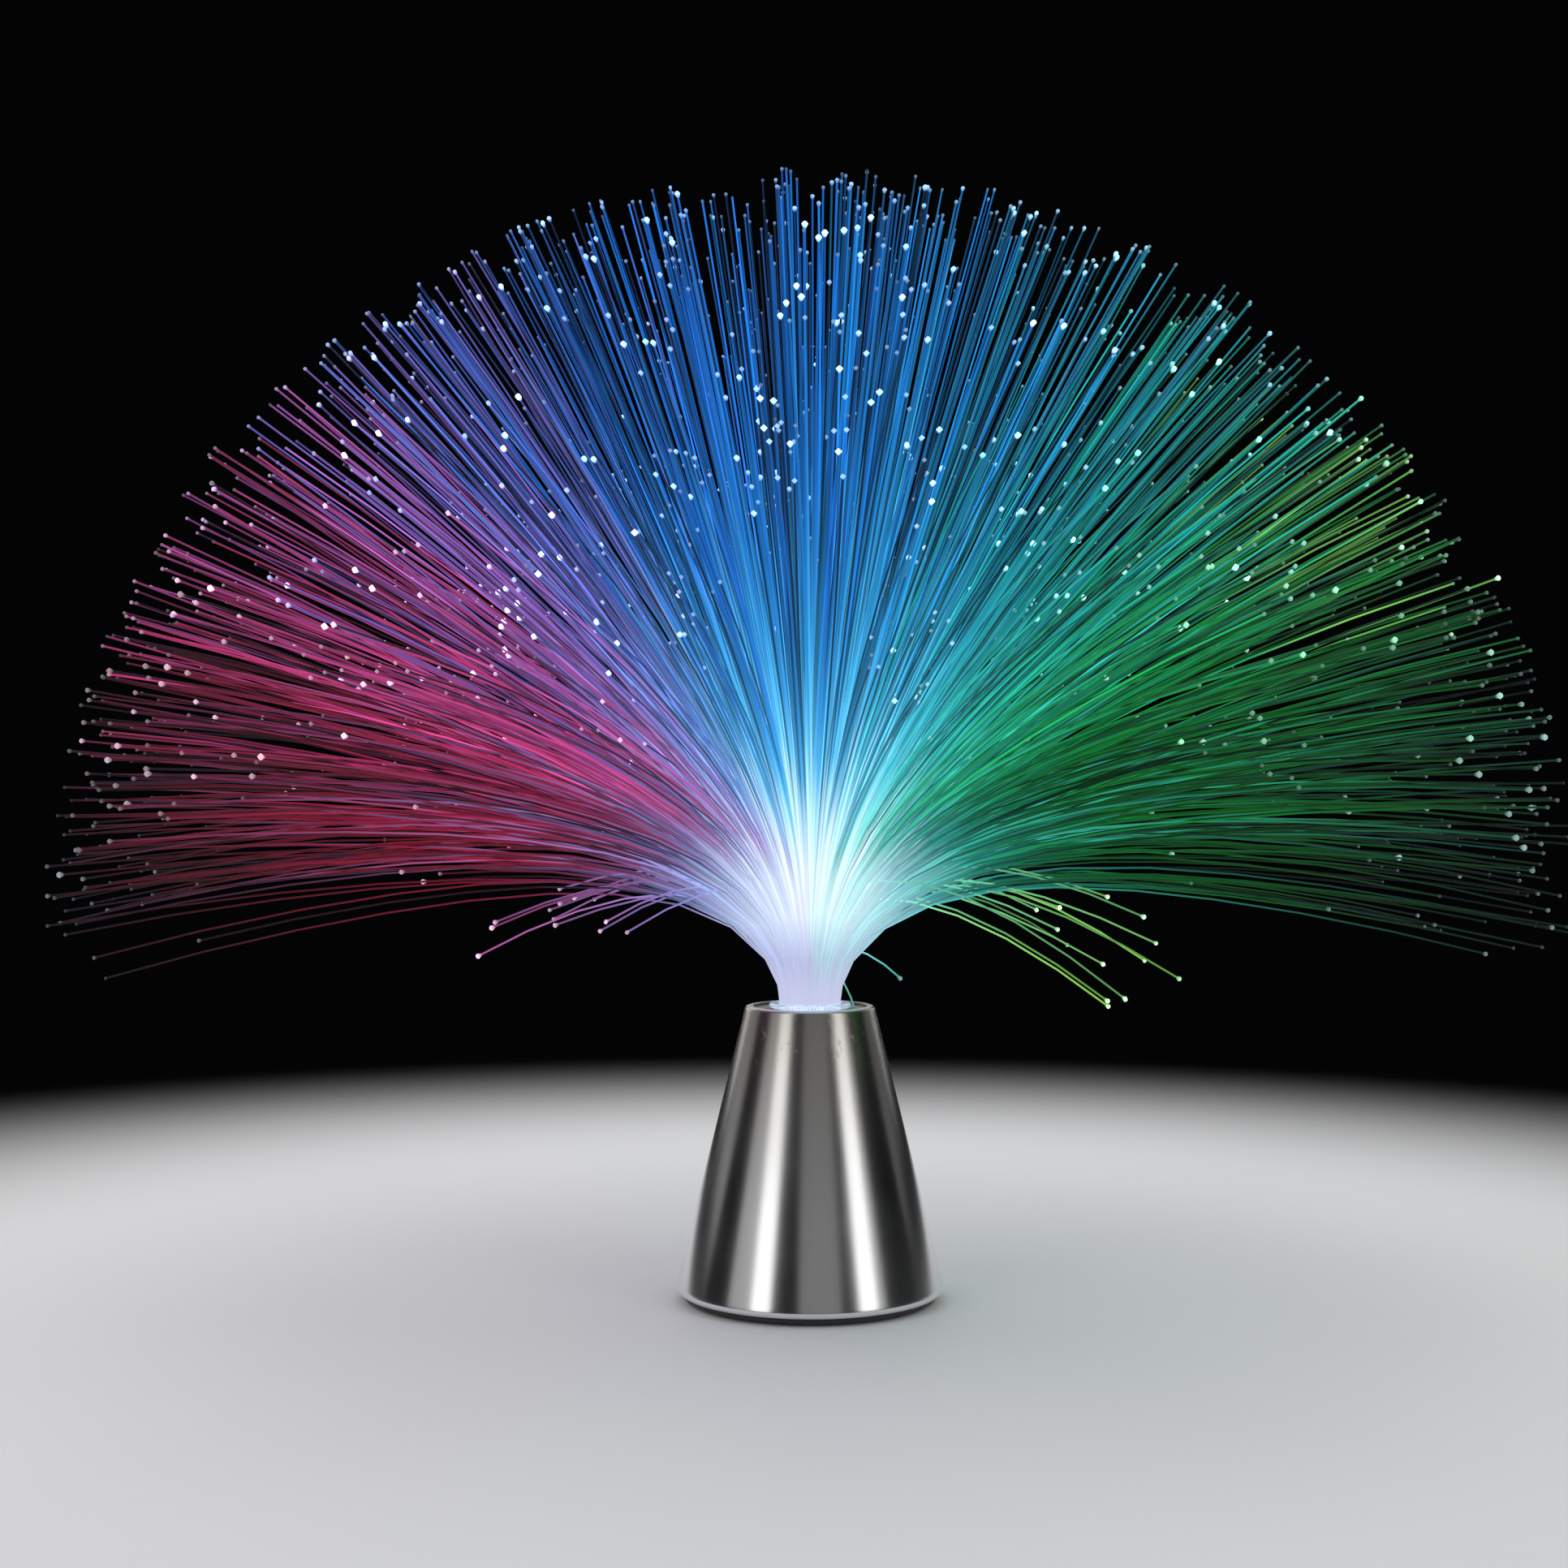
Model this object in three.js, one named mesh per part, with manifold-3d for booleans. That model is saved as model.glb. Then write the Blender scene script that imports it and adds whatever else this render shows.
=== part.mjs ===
// Battery-powered fibre optic lamp: a spun metal cone with a spray of light-guiding fibres
// plugged into its top and three coloured LEDs, a board and three upright cells inside it.
// Millimetres, +Z up. The origin is the middle of the footprint on the table, the front is -Y.

import * as THREE from 'three';
import { mergeGeometries, mergeVertices } from 'three/addons/utils/BufferGeometryUtils.js';
import Module from 'manifold-3d';

const wasm = await Module();
wasm.setup();

// Clearances and cuts
const seatGap = 0.3; // between a piece and the one that it sits on
const slideGap = 0.3; // between a moving piece and its guide
const cutOverrun = 1; // how far a cutter runs past the face that it opens
const fuseDepth = 1; // how far a rib or boss reaches into the plate that carries it

// Facets round a full turn
const coneSides = 44;
const ringSides = 28;
const tubeSides = 18;
const rodSides = 12;
const pinSides = 8;

// Straight runs in a bend, and the fewest in a sector's arc
const footBendSteps = 4;
const rimBendSteps = 3;
const hiddenBendSteps = 1;
const domeSteps = 3;
const leastArcSteps = 3;

// Cone shell, one spun sheet turned in at the foot and at the rim
const sheetThickness = 1;
const footBend = 1.6;
const rimBend = 1.4;
const hemReach = 4.2; // how far the hem turns in from the cone's foot
const lipReach = 2.2; // how far the lip turns in from its rim

// Base plate, snapped into the hem
const plateThickness = 2.4;
const flangeThickness = 1;
const flangeOverlap = 1.6;
const plateWallThickness = 0.9;
const plateWallHeight = 2.2;
const hookCount = 4;
const hookAngle = radians( 14 );
const hookReach = 1.1;
const hookHeight = 1.5;
const plateRibCount = 8;
const plateRibThickness = 1.2;
const plateRibHeight = 1.4;
const lugWallGap = 4.2; // from the lugs of the battery case to the plate's wall

// Foot pads
const padCount = 4;
const padRadius = 4;
const padInset = 3.8; // from the plate's edge in to a pad's middle
const padStandout = 0.8;
const padRecess = 0.7;

// Battery door with its bayonet
const doorLedge = 1.4; // how far the door's disc reaches past its hub
const doorThickness = 1.8;
const doorInset = 0.2;
const hubGrooveWidth = 1.6;
const hubGrooveDepth = 1.2;
const hubGrooveEdge = 1.4;
const tabCount = 3;
const tabAngle = radians( 30 );
const tabThickness = 1.4;
const tabReach = 3.6;
const notchPlay = radians( 2 );
const doorTwist = radians( 36 );
const stopThickness = 1.2;
const coinSlotLength = 15;
const coinSlotWidth = 2.4;
const coinSlotDepth = 1;

// Cells
const cellCount = 3;
const cellRadius = 7.25;
const cellLength = 50.5;
const cellShoulder = 1;
const cellButtonRadius = 2.75;
const cellButtonHeight = 1;
const cellAzimuths = [ radians( 210 ), radians( 90 ), radians( 330 ) ];

// Battery case, three tubes on a flanged foot
const tubeWeb = 1;
const tubeWall = 1.6;
const caseFlangeThickness = 1.6;
const skirtThickness = 1.6;
const lugRadius = 3.6;
const lugOverlap = 0.4; // how far a lug reaches into the skirt
const lugHeight = 6.1;
const capBossRadius = 2.6;
const capBossReach = 3.3; // from the cells' circle out to the bosses'
const capBossDepth = 9;

// Battery contacts
const contactThickness = 0.4;
const contactSeatRadius = 4.3;
const contactStripWidth = 5;
const springHeight = 2.1;
const springInset = 0.4; // from the edge of a contact's seat in to the foot of its spring
const springTipRadius = 2.5;
const springWireRadius = 0.28;
const springTurns = 2;
const springSteps = 16;
const springWireSides = 5;
const contactPadRadius = 2.6;
const solderTabWidth = 3;
const solderTabThickness = 0.5;
const solderTabHeight = 1.3;
const returnRodRadius = 0.8;
const returnPadRadius = 1.6;
const centreCoreRadius = 3;

// Contact cap on top of the case
const capOverhang = 0.4; // past the case's tubes
const capThickness = 2;
const postRadius = 2.2;
const postInset = 3.4; // from the board's edge in to a post's middle
const postHeight = 2.4;

// LED board and what is soldered to it
const boardWallGap = 1.6; // from the board's edge to the cone
const boardThickness = 1.6;
const boardNotchWidth = 3.4;
const boardNotchDepth = 2.8;
const ledRadius = 2.5;
const ledFlangeRadius = 2.9;
const ledFlangeHeight = 1;
const ledHeight = 8.6;
const ledSpacing = 6;
const resistorRadius = 1.15;
const resistorWaistRadius = 0.95;
const resistorLength = 6;
const resistorSwellShare = 0.2; // of its length, at each end
const resistorNeckShare = 0.28; // of its length, where the waist begins
const resistorLeadRadius = 0.3;
const resistorLeadOverhang = 1.2;
const resistorStandoff = 0.5;
const resistorInset = 3.6; // from the board's edge in to a resistor's middle
const resistorMiddle = radians( - 30 );
const resistorStep = radians( 34 );
const chipLength = 5;
const chipWidth = 3.9;
const chipHeight = 1.4;
const chipLegCount = 4;
const chipLegPitch = 1.27;
const chipLegWidth = 0.45;
const chipLegReach = 1.1;
const chipLegHeight = 0.8;

// Fibre plug: a clear ferrule round the potted end of the bundle
const bundleRadius = 9;
const ferruleWall = 1.1;
const pottedLength = 7.5; // of the bundle's potted end, from its face over the LEDs to its top
const flangeSeat = 1.1; // how far the flange reaches over the collar's face
const ferruleFlangeThickness = 1.3;
const ferruleFlangeBevel = 0.4;
const ferruleFootRise = 1.6; // from the board up to the ferrule's lower edge
const ledHeadroom = 0.7;
const keyWidth = 2.4;
const keyReach = 1.2;

// Socket collar in the top of the cone
const sleeveWall = 1.6;
const collarFaceWidth = 5.4; // from the sleeve's bore out to the lip
const collarWallGap = 0.6; // from the collar's skirt to the cone
const collarDiscThickness = 2;
const collarSkirtThickness = 1.5;
const collarSkirtHeight = 5;
const collarRibCount = 6;
const collarRibThickness = 1.2;
const collarRibDrop = 6;
const rimRecess = 0.7; // the collar's face lies this far under the rim

// Slide switch under the foot
const switchInset = 6.1; // from the plate's edge in to the switch's middle
const switchTravel = 4;
const knobLength = 6.4;
const knobWidth = 5;
const knobThickness = 1.1;
const knobInset = 0.1;
const knobNeckLength = 3.2;
const knobNeckWidth = 2.4;
const knobNeckDepth = 1.2; // how far the neck reaches into the switch
const knobRidgeCount = 4;
const knobRidgeHeight = 0.4;
const knobRidgeThickness = 0.5;
const knobRecessDepth = 1.5;
const switchLength = 13;
const switchWidth = 7;
const switchHeight = 5.5;
const switchEarReach = 5.2;
const switchEarThickness = 0.9;
const switchEarRise = 1.8;
const switchScrewSpread = 9.3;
const switchBossRadius = 2.2;
const terminalCount = 3;
const terminalPitch = 3.5;
const terminalWidth = 1.4;
const terminalThickness = 0.5;
const terminalHeight = 2.4;

// Self-tapping screws
const screwHeadRadius = 2.4;
const screwHeadHeight = 1.1;
const screwShankRadius = 1.1;
const screwPoint = 1.2;
const screwHeadPlay = 0.4;
const caseScrewLength = 6;
const capScrewLength = 7;
const boardScrewLength = 3.9;
const switchScrewLength = 3.2;
const smallHeadRadius = 2;

// Internal leads
const leadRadius = 0.65;
const leadSides = 8;
const leadSteps = 14;
const leadWallGap = 1.1; // from the lead's middle to the inside of the cone
const leadRise = 4; // straight up out of a terminal, and straight down under the cap
const leadBend = 16; // height above a terminal at which a lead reaches the wall
const leadDrop = 8; // below the cap, where the return lead leaves the wall
const leadLoopHeight = 2.9; // crown of a lead's loop over the board
const leadLandingHeight = 2.2; // above the board, where a lead turns down to its pad
const leadCrossingShare = 2 / 3; // of the cap's radius, where the return lead lies flat

// Fibre spray
const strandRadius = 0.36;
const strandSides = 3;
const strandRoot = 1; // how far a strand runs down into the potted end
const strandPathSteps = 160; // fine steps in which a strand's bend is added up
const strandLength = 238; // of an upright strand, from the potted face to its tip
const sideTrimShare = 0.05; // how much shorter the strands that lean out furthest are
const strandRings = 10;
const ringPitch = 0.87;
const strandSpacing = 0.87;
const sliceEdgeGap = 0.58; // from a slice's cut side to the first strand's middle
const bendLength = 38; // the length over which a strand leans out
const sideLean = radians( 98 );
const frontLean = radians( 66 );
const sagLean = radians( 7 );
const leanFanPower = 1.5;
const bendShares = [ 0.08, 0.27, 1 ]; // where a strand's straight runs end
const lengthShares = [ 1, 0.93, 0.98, 0.86, 0.95, 1, 0.78, 0.97, 0.9, 0.99, 0.84 ];
const droopPitch = 3; // every third strand of the outermost ring droops low at the sides
const droopLean = radians( 124 );
const droopLengthShare = 0.58;
const droopBendShares = [ 0.13, 0.3, 0.6, 1 ];
const droopFanShare = 0.8; // of the way round to the sides, from which strands droop
const gapSamples = 24;

// Heights that stack up from the table
const plateBottom = padStandout;
const plateTop = plateBottom + plateThickness;
const shellFoot = plateBottom + flangeThickness + seatGap;
const tabBottom = plateTop + slideGap;
const hubTop = tabBottom + tabThickness;
const doorContactBottom = hubTop + seatGap;
const doorContactTop = doorContactBottom + contactThickness;
const cellBottom = doorContactTop + springHeight + seatGap;
const cellTop = cellBottom + cellLength;
const capContactBottom = cellTop + seatGap + springHeight;
const capContactTop = capContactBottom + contactThickness;
const caseTop = capContactBottom - seatGap;
const capBottom = capContactTop + seatGap;
const capTop = capBottom + capThickness;
const boardBottom = capTop + postHeight + seatGap;
const boardTop = boardBottom + boardThickness;
const partsBottom = boardTop + seatGap;
const ledTop = partsBottom + ledHeight;
const bundleBottom = ledTop + ledHeadroom;
const bundleTop = bundleBottom + pottedLength;
const ferruleFoot = boardTop + ferruleFootRise;
const ferruleTop = bundleTop;
const ferruleFlangeBottom = ferruleTop - ferruleFlangeThickness;
const collarTop = ferruleFlangeBottom - seatGap;
const shellRim = collarTop + rimRecess;
const collarShoulder = shellRim - sheetThickness - seatGap;
const coneHeight = shellRim - shellFoot;

// Radii at the foot, from the cells outwards
const tubeBore = cellRadius + slideGap;
const tubeRadius = tubeBore + tubeWall;
const cellCircle = ( 2 * tubeBore + tubeWeb ) / Math.sqrt( cellCount );
const springFootRadius = contactSeatRadius - springInset;
const hubRadius = cellCircle + contactSeatRadius + hubGrooveWidth + hubGrooveEdge;
const doorRadius = hubRadius + doorLedge;
const openingRadius = doorRadius + slideGap;
const tabRadius = hubRadius + tabReach;
const notchRadius = tabRadius + slideGap;
const skirtInnerRadius = notchRadius + slideGap;
const skirtOuterRadius = skirtInnerRadius + skirtThickness;
const lugCircle = skirtOuterRadius + lugRadius - lugOverlap;
const plateRadius = lugCircle + lugRadius + lugWallGap + plateWallThickness;
const padCircle = plateRadius - padInset;
const switchCircle = plateRadius - switchInset;
const hemInnerRadius = plateRadius + seatGap;
const coneFootRadius = hemInnerRadius + hemReach;

// Radii at the rim, from the fibres outwards
const ferruleBore = bundleRadius + seatGap;
const ferruleRadius = ferruleBore + ferruleWall;
const sleeveBore = ferruleRadius + slideGap;
const sleeveRadius = sleeveBore + sleeveWall;
const ferruleFlangeRadius = sleeveBore + flangeSeat;
const lipInnerRadius = sleeveBore + collarFaceWidth + seatGap;
const coneRimRadius = lipInnerRadius + lipReach;

// Radii between the two, inside the cone
const coneTilt = Math.atan2( coneFootRadius - coneRimRadius, coneHeight );
const collarRadius = coneInside( collarShoulder ) - collarWallGap;
const boardRadius = coneInside( boardTop ) - boardWallGap;
const postCircle = boardRadius - postInset;
const resistorCircle = boardRadius - resistorInset;
const capBossCircle = cellCircle + capBossReach;
const capRadius = Math.max( cellCircle + tubeRadius, postCircle + postRadius ) + capOverhang;
const holeRadius = screwShankRadius + seatGap;
const outerStrandRadius = bundleRadius - strandSpacing / 2;
const lugAzimuths = cellAzimuths.map( ( azimuth ) => azimuth + Math.PI );
const leadAzimuths = [ radians( 76 ), radians( 104 ), radians( 236 ) ];

function radians( degrees ) {

	return THREE.MathUtils.degToRad( degrees );

}

// Turns a closed geometry into a solid that can be joined and cut.
function toSolid( geometry ) {

	const bare = geometry.clone();
	bare.deleteAttribute( 'normal' );
	bare.deleteAttribute( 'uv' );
	const merged = mergeVertices( bare );
	const corners = merged.index.array;
	const kept = [];
	for ( let i = 0; i < corners.length; i += 3 ) {

		const [ a, b, c ] = corners.slice( i, i + 3 );
		if ( a !== b && b !== c && c !== a ) kept.push( a, b, c );

	}
	return new wasm.Manifold( new wasm.Mesh( {
		numProp: 3,
		vertProperties: merged.attributes.position.array,
		triVerts: new Uint32Array( kept ),
	} ) );

}

function toGeometry( solid ) {

	const mesh = solid.getMesh();
	const geometry = new THREE.BufferGeometry();
	geometry.setAttribute( 'position', new THREE.BufferAttribute( mesh.vertProperties, mesh.numProp ) );
	geometry.setIndex( new THREE.BufferAttribute( mesh.triVerts, 1 ) );
	return geometry;

}

function join( ...geometries ) {

	const solids = geometries.flat().map( toSolid );
	return toGeometry( solids.reduce( ( whole, solid ) => whole.add( solid ) ) );

}

function cut( geometry, ...cutters ) {

	const solids = cutters.flat().map( toSolid );
	return toGeometry( solids.reduce( ( left, solid ) => left.subtract( solid ), toSolid( geometry ) ) );

}

// Points of an arc in a profile, from one angle to another.
function arc( centreRadius, centreHeight, radius, from, to, steps ) {

	return Array.from( { length: steps + 1 }, ( _, i ) => {

		const angle = THREE.MathUtils.lerp( from, to, i / steps );
		return [ centreRadius + radius * Math.cos( angle ), centreHeight + radius * Math.sin( angle ) ];

	} );

}

// A solid of revolution about Z from a closed outline of [ radius, height ] points.
function revolve( outline, sides ) {

	const points = outline.map( ( [ radius, height ] ) => new THREE.Vector2( radius, height ) );
	if ( THREE.ShapeUtils.area( points ) < 0 ) points.reverse();
	points.push( points[ 0 ].clone() );
	return new THREE.LatheGeometry( points, sides ).rotateX( Math.PI / 2 );

}

function ring( innerRadius, outerRadius, bottom, top, sides ) {

	const outline = [
		[ innerRadius, bottom ], [ outerRadius, bottom ], [ outerRadius, top ], [ innerRadius, top ],
	];
	return revolve( outline, sides );

}

function cylinder( radius, bottom, top, sides ) {

	return new THREE.CylinderGeometry( radius, radius, top - bottom, sides )
		.rotateX( Math.PI / 2 )
		.translate( 0, 0, ( bottom + top ) / 2 );

}

function block( length, width, bottom, top ) {

	return new THREE.BoxGeometry( length, width, top - bottom ).translate( 0, 0, ( bottom + top ) / 2 );

}

// The part of a ring between two angles either side of +X.
function sector( innerRadius, outerRadius, halfAngle, bottom, top ) {

	const shape = new THREE.Shape();
	shape.absarc( 0, 0, outerRadius, - halfAngle, halfAngle, false );
	shape.absarc( 0, 0, innerRadius, halfAngle, - halfAngle, true );
	shape.closePath();
	const steps = Math.max( leastArcSteps, Math.round( ringSides * halfAngle / Math.PI ) );
	const options = { depth: top - bottom, bevelEnabled: false, curveSegments: steps };
	return new THREE.ExtrudeGeometry( shape, options ).translate( 0, 0, bottom );

}

// A flat strip with round ends that runs from one point to another.
function strip( start, end, width, bottom, top ) {

	const length = start.distanceTo( end );
	const shape = new THREE.Shape();
	shape.absarc( 0, 0, width / 2, Math.PI / 2, 3 * Math.PI / 2, false );
	shape.absarc( length, 0, width / 2, - Math.PI / 2, Math.PI / 2, false );
	shape.closePath();
	const options = { depth: top - bottom, bevelEnabled: false, curveSegments: rodSides / 2 };
	return new THREE.ExtrudeGeometry( shape, options )
		.rotateZ( end.clone().sub( start ).angle() )
		.translate( start.x, start.y, bottom );

}

function polar( circle, azimuth ) {

	return new THREE.Vector2( circle * Math.cos( azimuth ), circle * Math.sin( azimuth ) );

}

function moveTo( geometry, spot ) {

	return geometry.translate( spot.x, spot.y, 0 );

}

// Copies of a shape at even turns about Z.
function aroundAxis( count, firstAzimuth, make ) {

	return Array.from( { length: count }, ( _, i ) => {

		return make( i ).rotateZ( firstAzimuth + i * 2 * Math.PI / count );

	} );

}

function sweep( curve, radius, sides, steps ) {

	const shape = new THREE.Shape( polygon( radius, sides ) );
	return new THREE.ExtrudeGeometry( shape, { extrudePath: curve, steps } );

}

function polygon( radius, sides ) {

	return Array.from( { length: sides }, ( _, i ) => polar( radius, i * 2 * Math.PI / sides ) );

}

// Inside radius of the cone's sheet at a height.
function coneInside( height ) {

	const outside = coneFootRadius - ( height - shellFoot ) * Math.tan( coneTilt );
	return outside - sheetThickness / Math.cos( coneTilt );

}

// The spun sheet: a wall that tapers up, rolled in to a hem below and to a lip above.
function makeConeShell() {

	const footCentre = coneFootRadius - footBend * ( 1 + Math.sin( coneTilt ) ) / Math.cos( coneTilt );
	const rimCentre = coneRimRadius - rimBend * ( 1 - Math.sin( coneTilt ) ) / Math.cos( coneTilt );
	const footHeight = shellFoot + footBend;
	const rimHeight = shellRim - rimBend;
	const down = - Math.PI / 2;
	const up = Math.PI / 2;
	return revolve( [
		[ hemInnerRadius, shellFoot ],
		...arc( footCentre, footHeight, footBend, down, coneTilt, footBendSteps ),
		...arc( rimCentre, rimHeight, rimBend, coneTilt, up, rimBendSteps ),
		[ lipInnerRadius, shellRim ],
		[ lipInnerRadius, shellRim - sheetThickness ],
		...arc( rimCentre, rimHeight, rimBend - sheetThickness, up, coneTilt, hiddenBendSteps ),
		...arc( footCentre, footHeight, footBend - sheetThickness, coneTilt, down, hiddenBendSteps ),
		[ hemInnerRadius, shellFoot + sheetThickness ],
	], coneSides );

}

// The moulded socket: a dark disc under the lip, a sleeve for the plug, a skirt and gussets.
function makeSocketCollar() {

	const discBottom = collarShoulder - collarDiscThickness;
	const skirtBottom = discBottom - collarSkirtHeight;
	const skirtInner = collarRadius - collarSkirtThickness;
	const faceRadius = lipInnerRadius - seatGap;
	const body = revolve( [
		[ sleeveBore, partsBottom ],
		[ sleeveRadius, partsBottom ],
		[ sleeveRadius, discBottom ],
		[ skirtInner, discBottom ],
		[ skirtInner, skirtBottom ],
		[ collarRadius, skirtBottom ],
		[ collarRadius, collarShoulder ],
		[ faceRadius, collarShoulder ],
		[ faceRadius, collarTop ],
		[ sleeveBore, collarTop ],
	], ringSides );
	const middle = ( sleeveBore + skirtInner ) / 2 + sleeveWall / 2;
	const ribLength = skirtInner - sleeveRadius + sleeveWall;
	const ribs = aroundAxis( collarRibCount, 0, () => {

		const rib = block( ribLength, collarRibThickness, discBottom - collarRibDrop, collarShoulder );
		return rib.translate( middle, 0, 0 );

	} );
	const keyway = block( 2 * ( keyReach + slideGap ), keyWidth + 2 * slideGap,
		partsBottom - cutOverrun, collarTop + cutOverrun );
	return cut( join( body, ribs ), keyway.rotateZ( Math.PI / 2 ).translate( 0, sleeveBore, 0 ) );

}

// Clear plug: a tube with a bevelled flange that sits on the collar and a key at the back.
function makeFerrule() {

	const body = revolve( [
		[ ferruleBore, ferruleFoot ],
		[ ferruleRadius, ferruleFoot ],
		[ ferruleRadius, ferruleFlangeBottom ],
		[ ferruleFlangeRadius, ferruleFlangeBottom ],
		[ ferruleFlangeRadius, ferruleTop - ferruleFlangeBevel ],
		[ ferruleFlangeRadius - ferruleFlangeBevel, ferruleTop ],
		[ ferruleBore, ferruleTop ],
	], ringSides );
	const keyLength = ferruleWall / 2 + keyReach;
	const key = block( keyWidth, keyLength, ferruleFoot, ferruleFlangeBottom );
	return join( body, key.translate( 0, ferruleRadius + keyReach - keyLength / 2, 0 ) );

}

// How far a strand leans at its tip, given its ring's share of the outermost ring. The shares
// spread the tips evenly over the dome, which is wider to the sides than to the front and back.
function strandLean( share, azimuth ) {

	const fan = Math.abs( Math.cos( azimuth ) ) ** leanFanPower;
	const furthest = THREE.MathUtils.lerp( frontLean, sideLean, fan );
	return Math.acos( 1 - share ** 2 * ( 1 - Math.cos( furthest ) ) );

}

// Points down the middle of a strand in its upright plane, as [ reach, height ] from its root. Its
// lean grows from zero at the plug, and towards its tip it sags.
function strandPoints( lean, length, shares ) {

	const step = length / strandPathSteps;
	const points = [ [ 0, bundleTop ] ];
	let reach = 0;
	let height = bundleTop;
	let next = 0;
	for ( let i = 1; i <= strandPathSteps; i ++ ) {

		const along = ( i - 1 / 2 ) / strandPathSteps;
		const sag = sagLean * along ** 2 * Math.sin( lean );
		const angle = lean * ( 1 - Math.exp( - along * length / bendLength ) ) + sag;
		reach += step * Math.sin( angle );
		height += step * Math.cos( angle );
		if ( i / strandPathSteps >= shares[ next ] ) {

			points.push( [ reach, height ] );
			next ++;

		}

	}
	return points;

}

// Where the strands of one quarter of the bundle stand, about +X: rings of even spacing. Each leans
// in a direction of its own, spread a little wider than its root, so the quarters meet in the spray.
function strandPlaces() {

	const places = [];
	for ( let ringIndex = 0; ringIndex < strandRings; ringIndex ++ ) {

		const radius = outerStrandRadius - ringIndex * ringPitch;
		const halfAngle = Math.PI / 4 - Math.asin( Math.min( 1, sliceEdgeGap / radius ) );
		if ( halfAngle < 0 ) continue;
		const count = 1 + Math.floor( 2 * halfAngle * radius / strandSpacing );
		for ( let i = 0; i < count; i ++ ) {

			const share = count > 1 ? 2 * i / ( count - 1 ) - 1 : 0;
			const direction = share * ( 1 - 1 / count ) * Math.PI / 4;
			places.push( { root: polar( radius, share * halfAngle ), radius, direction } );

		}

	}
	return places;

}

// Short strands at the edge of the bundle that fall below the dome, to the left and the right only.
function strandDroops( place, direction, index ) {

	const sideways = Math.abs( Math.cos( direction ) ) > droopFanShare;
	return sideways && place.radius === outerStrandRadius && index % droopPitch === 0;

}

// One strand as a closed tube of flat sides that follows its points from its root.
function strandTube( root, points, direction ) {

	const outward = new THREE.Vector3( Math.cos( direction ), Math.sin( direction ), 0 );
	const across = new THREE.Vector3( - outward.y, outward.x, 0 );
	const foot = [ 0, bundleTop - strandRoot ];
	const centres = [ foot, ...points ].map( ( [ reach, height ] ) => {

		return new THREE.Vector3( root.x, root.y, height ).addScaledVector( outward, reach );

	} );
	const positions = [];
	centres.forEach( ( centre, i ) => {

		const before = centres[ Math.max( i - 1, 0 ) ];
		const after = centres[ Math.min( i + 1, centres.length - 1 ) ];
		const along = after.clone().sub( before ).normalize();
		if ( i < 2 ) along.set( 0, 0, 1 );
		const side = across.clone().cross( along );
		for ( let k = 0; k < strandSides; k ++ ) {

			const turn = k * 2 * Math.PI / strandSides;
			const corner = centre.clone()
				.addScaledVector( side, strandRadius * Math.cos( turn ) )
				.addScaledVector( across, strandRadius * Math.sin( turn ) );
			positions.push( ...corner.toArray() );

		}

	} );
	const geometry = new THREE.BufferGeometry();
	geometry.setAttribute( 'position', new THREE.Float32BufferAttribute( positions, 3 ) );
	geometry.setIndex( tubeFaces( centres.length, strandSides ) );
	return geometry;

}

// Faces of a tube of rings of corners, closed by a fan at each end.
function tubeFaces( rings, sides ) {

	const faces = [];
	for ( let i = 0; i < rings - 1; i ++ ) {

		for ( let k = 0; k < sides; k ++ ) {

			const a = i * sides + k;
			const b = i * sides + ( k + 1 ) % sides;
			faces.push( a, b, a + sides, b, b + sides, a + sides );

		}

	}
	const last = ( rings - 1 ) * sides;
	for ( let k = 1; k < sides - 1; k ++ ) {

		faces.push( 0, k + 1, k, last, last + k, last + k + 1 );

	}
	return faces;

}

// One quarter of the spray: its strands, fused to a quarter of the potted end.
function makeFibres( azimuth, samples ) {

	const strands = strandPlaces().map( ( place, i ) => {

		const direction = azimuth + place.direction;
		const root = place.root.clone().rotateAround( new THREE.Vector2(), azimuth );
		const droops = strandDroops( place, direction, i );
		const lean = droops ? droopLean : strandLean( place.radius / outerStrandRadius, direction );
		const trim = droops ? droopLengthShare : 1 - sideTrimShare * ( 1 - Math.cos( lean ) );
		const length = strandLength * trim * lengthShares[ i % lengthShares.length ];
		const points = strandPoints( lean, length, droops ? droopBendShares : bendShares );
		samples.push( sampleStrand( root, points, direction ) );
		return strandTube( root, points, direction );

	} );
	const slice = sliceOfBundle().rotateZ( azimuth );
	return join( slice, mergeGeometries( strands ) );

}

// A quarter of the potted end about +X, with half a gap kept to the quarter on each side of it.
function sliceOfBundle() {

	const half = seatGap / 2;
	const quarter = Math.PI / 4;
	const trim = Math.asin( half / bundleRadius );
	const shape = new THREE.Shape();
	shape.absarc( 0, 0, bundleRadius, - quarter + trim, quarter - trim, false );
	shape.lineTo( half / Math.sin( quarter ), 0 );
	shape.closePath();
	const options = { depth: bundleTop - bundleBottom, bevelEnabled: false, curveSegments: ringSides / 4 };
	return new THREE.ExtrudeGeometry( shape, options ).translate( 0, 0, bundleBottom );

}

// Even points along a strand's straight runs, to measure how close two strands come.
function sampleStrand( root, points, direction ) {

	const corners = points.map( ( [ reach, height ] ) => {

		const spot = polar( reach, direction ).add( root );
		return new THREE.Vector3( spot.x, spot.y, height );

	} );
	const path = new THREE.CurvePath();
	for ( let i = 1; i < corners.length; i ++ ) {

		path.add( new THREE.LineCurve3( corners[ i - 1 ], corners[ i ] ) );

	}
	return path.getSpacedPoints( gapSamples );

}

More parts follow.
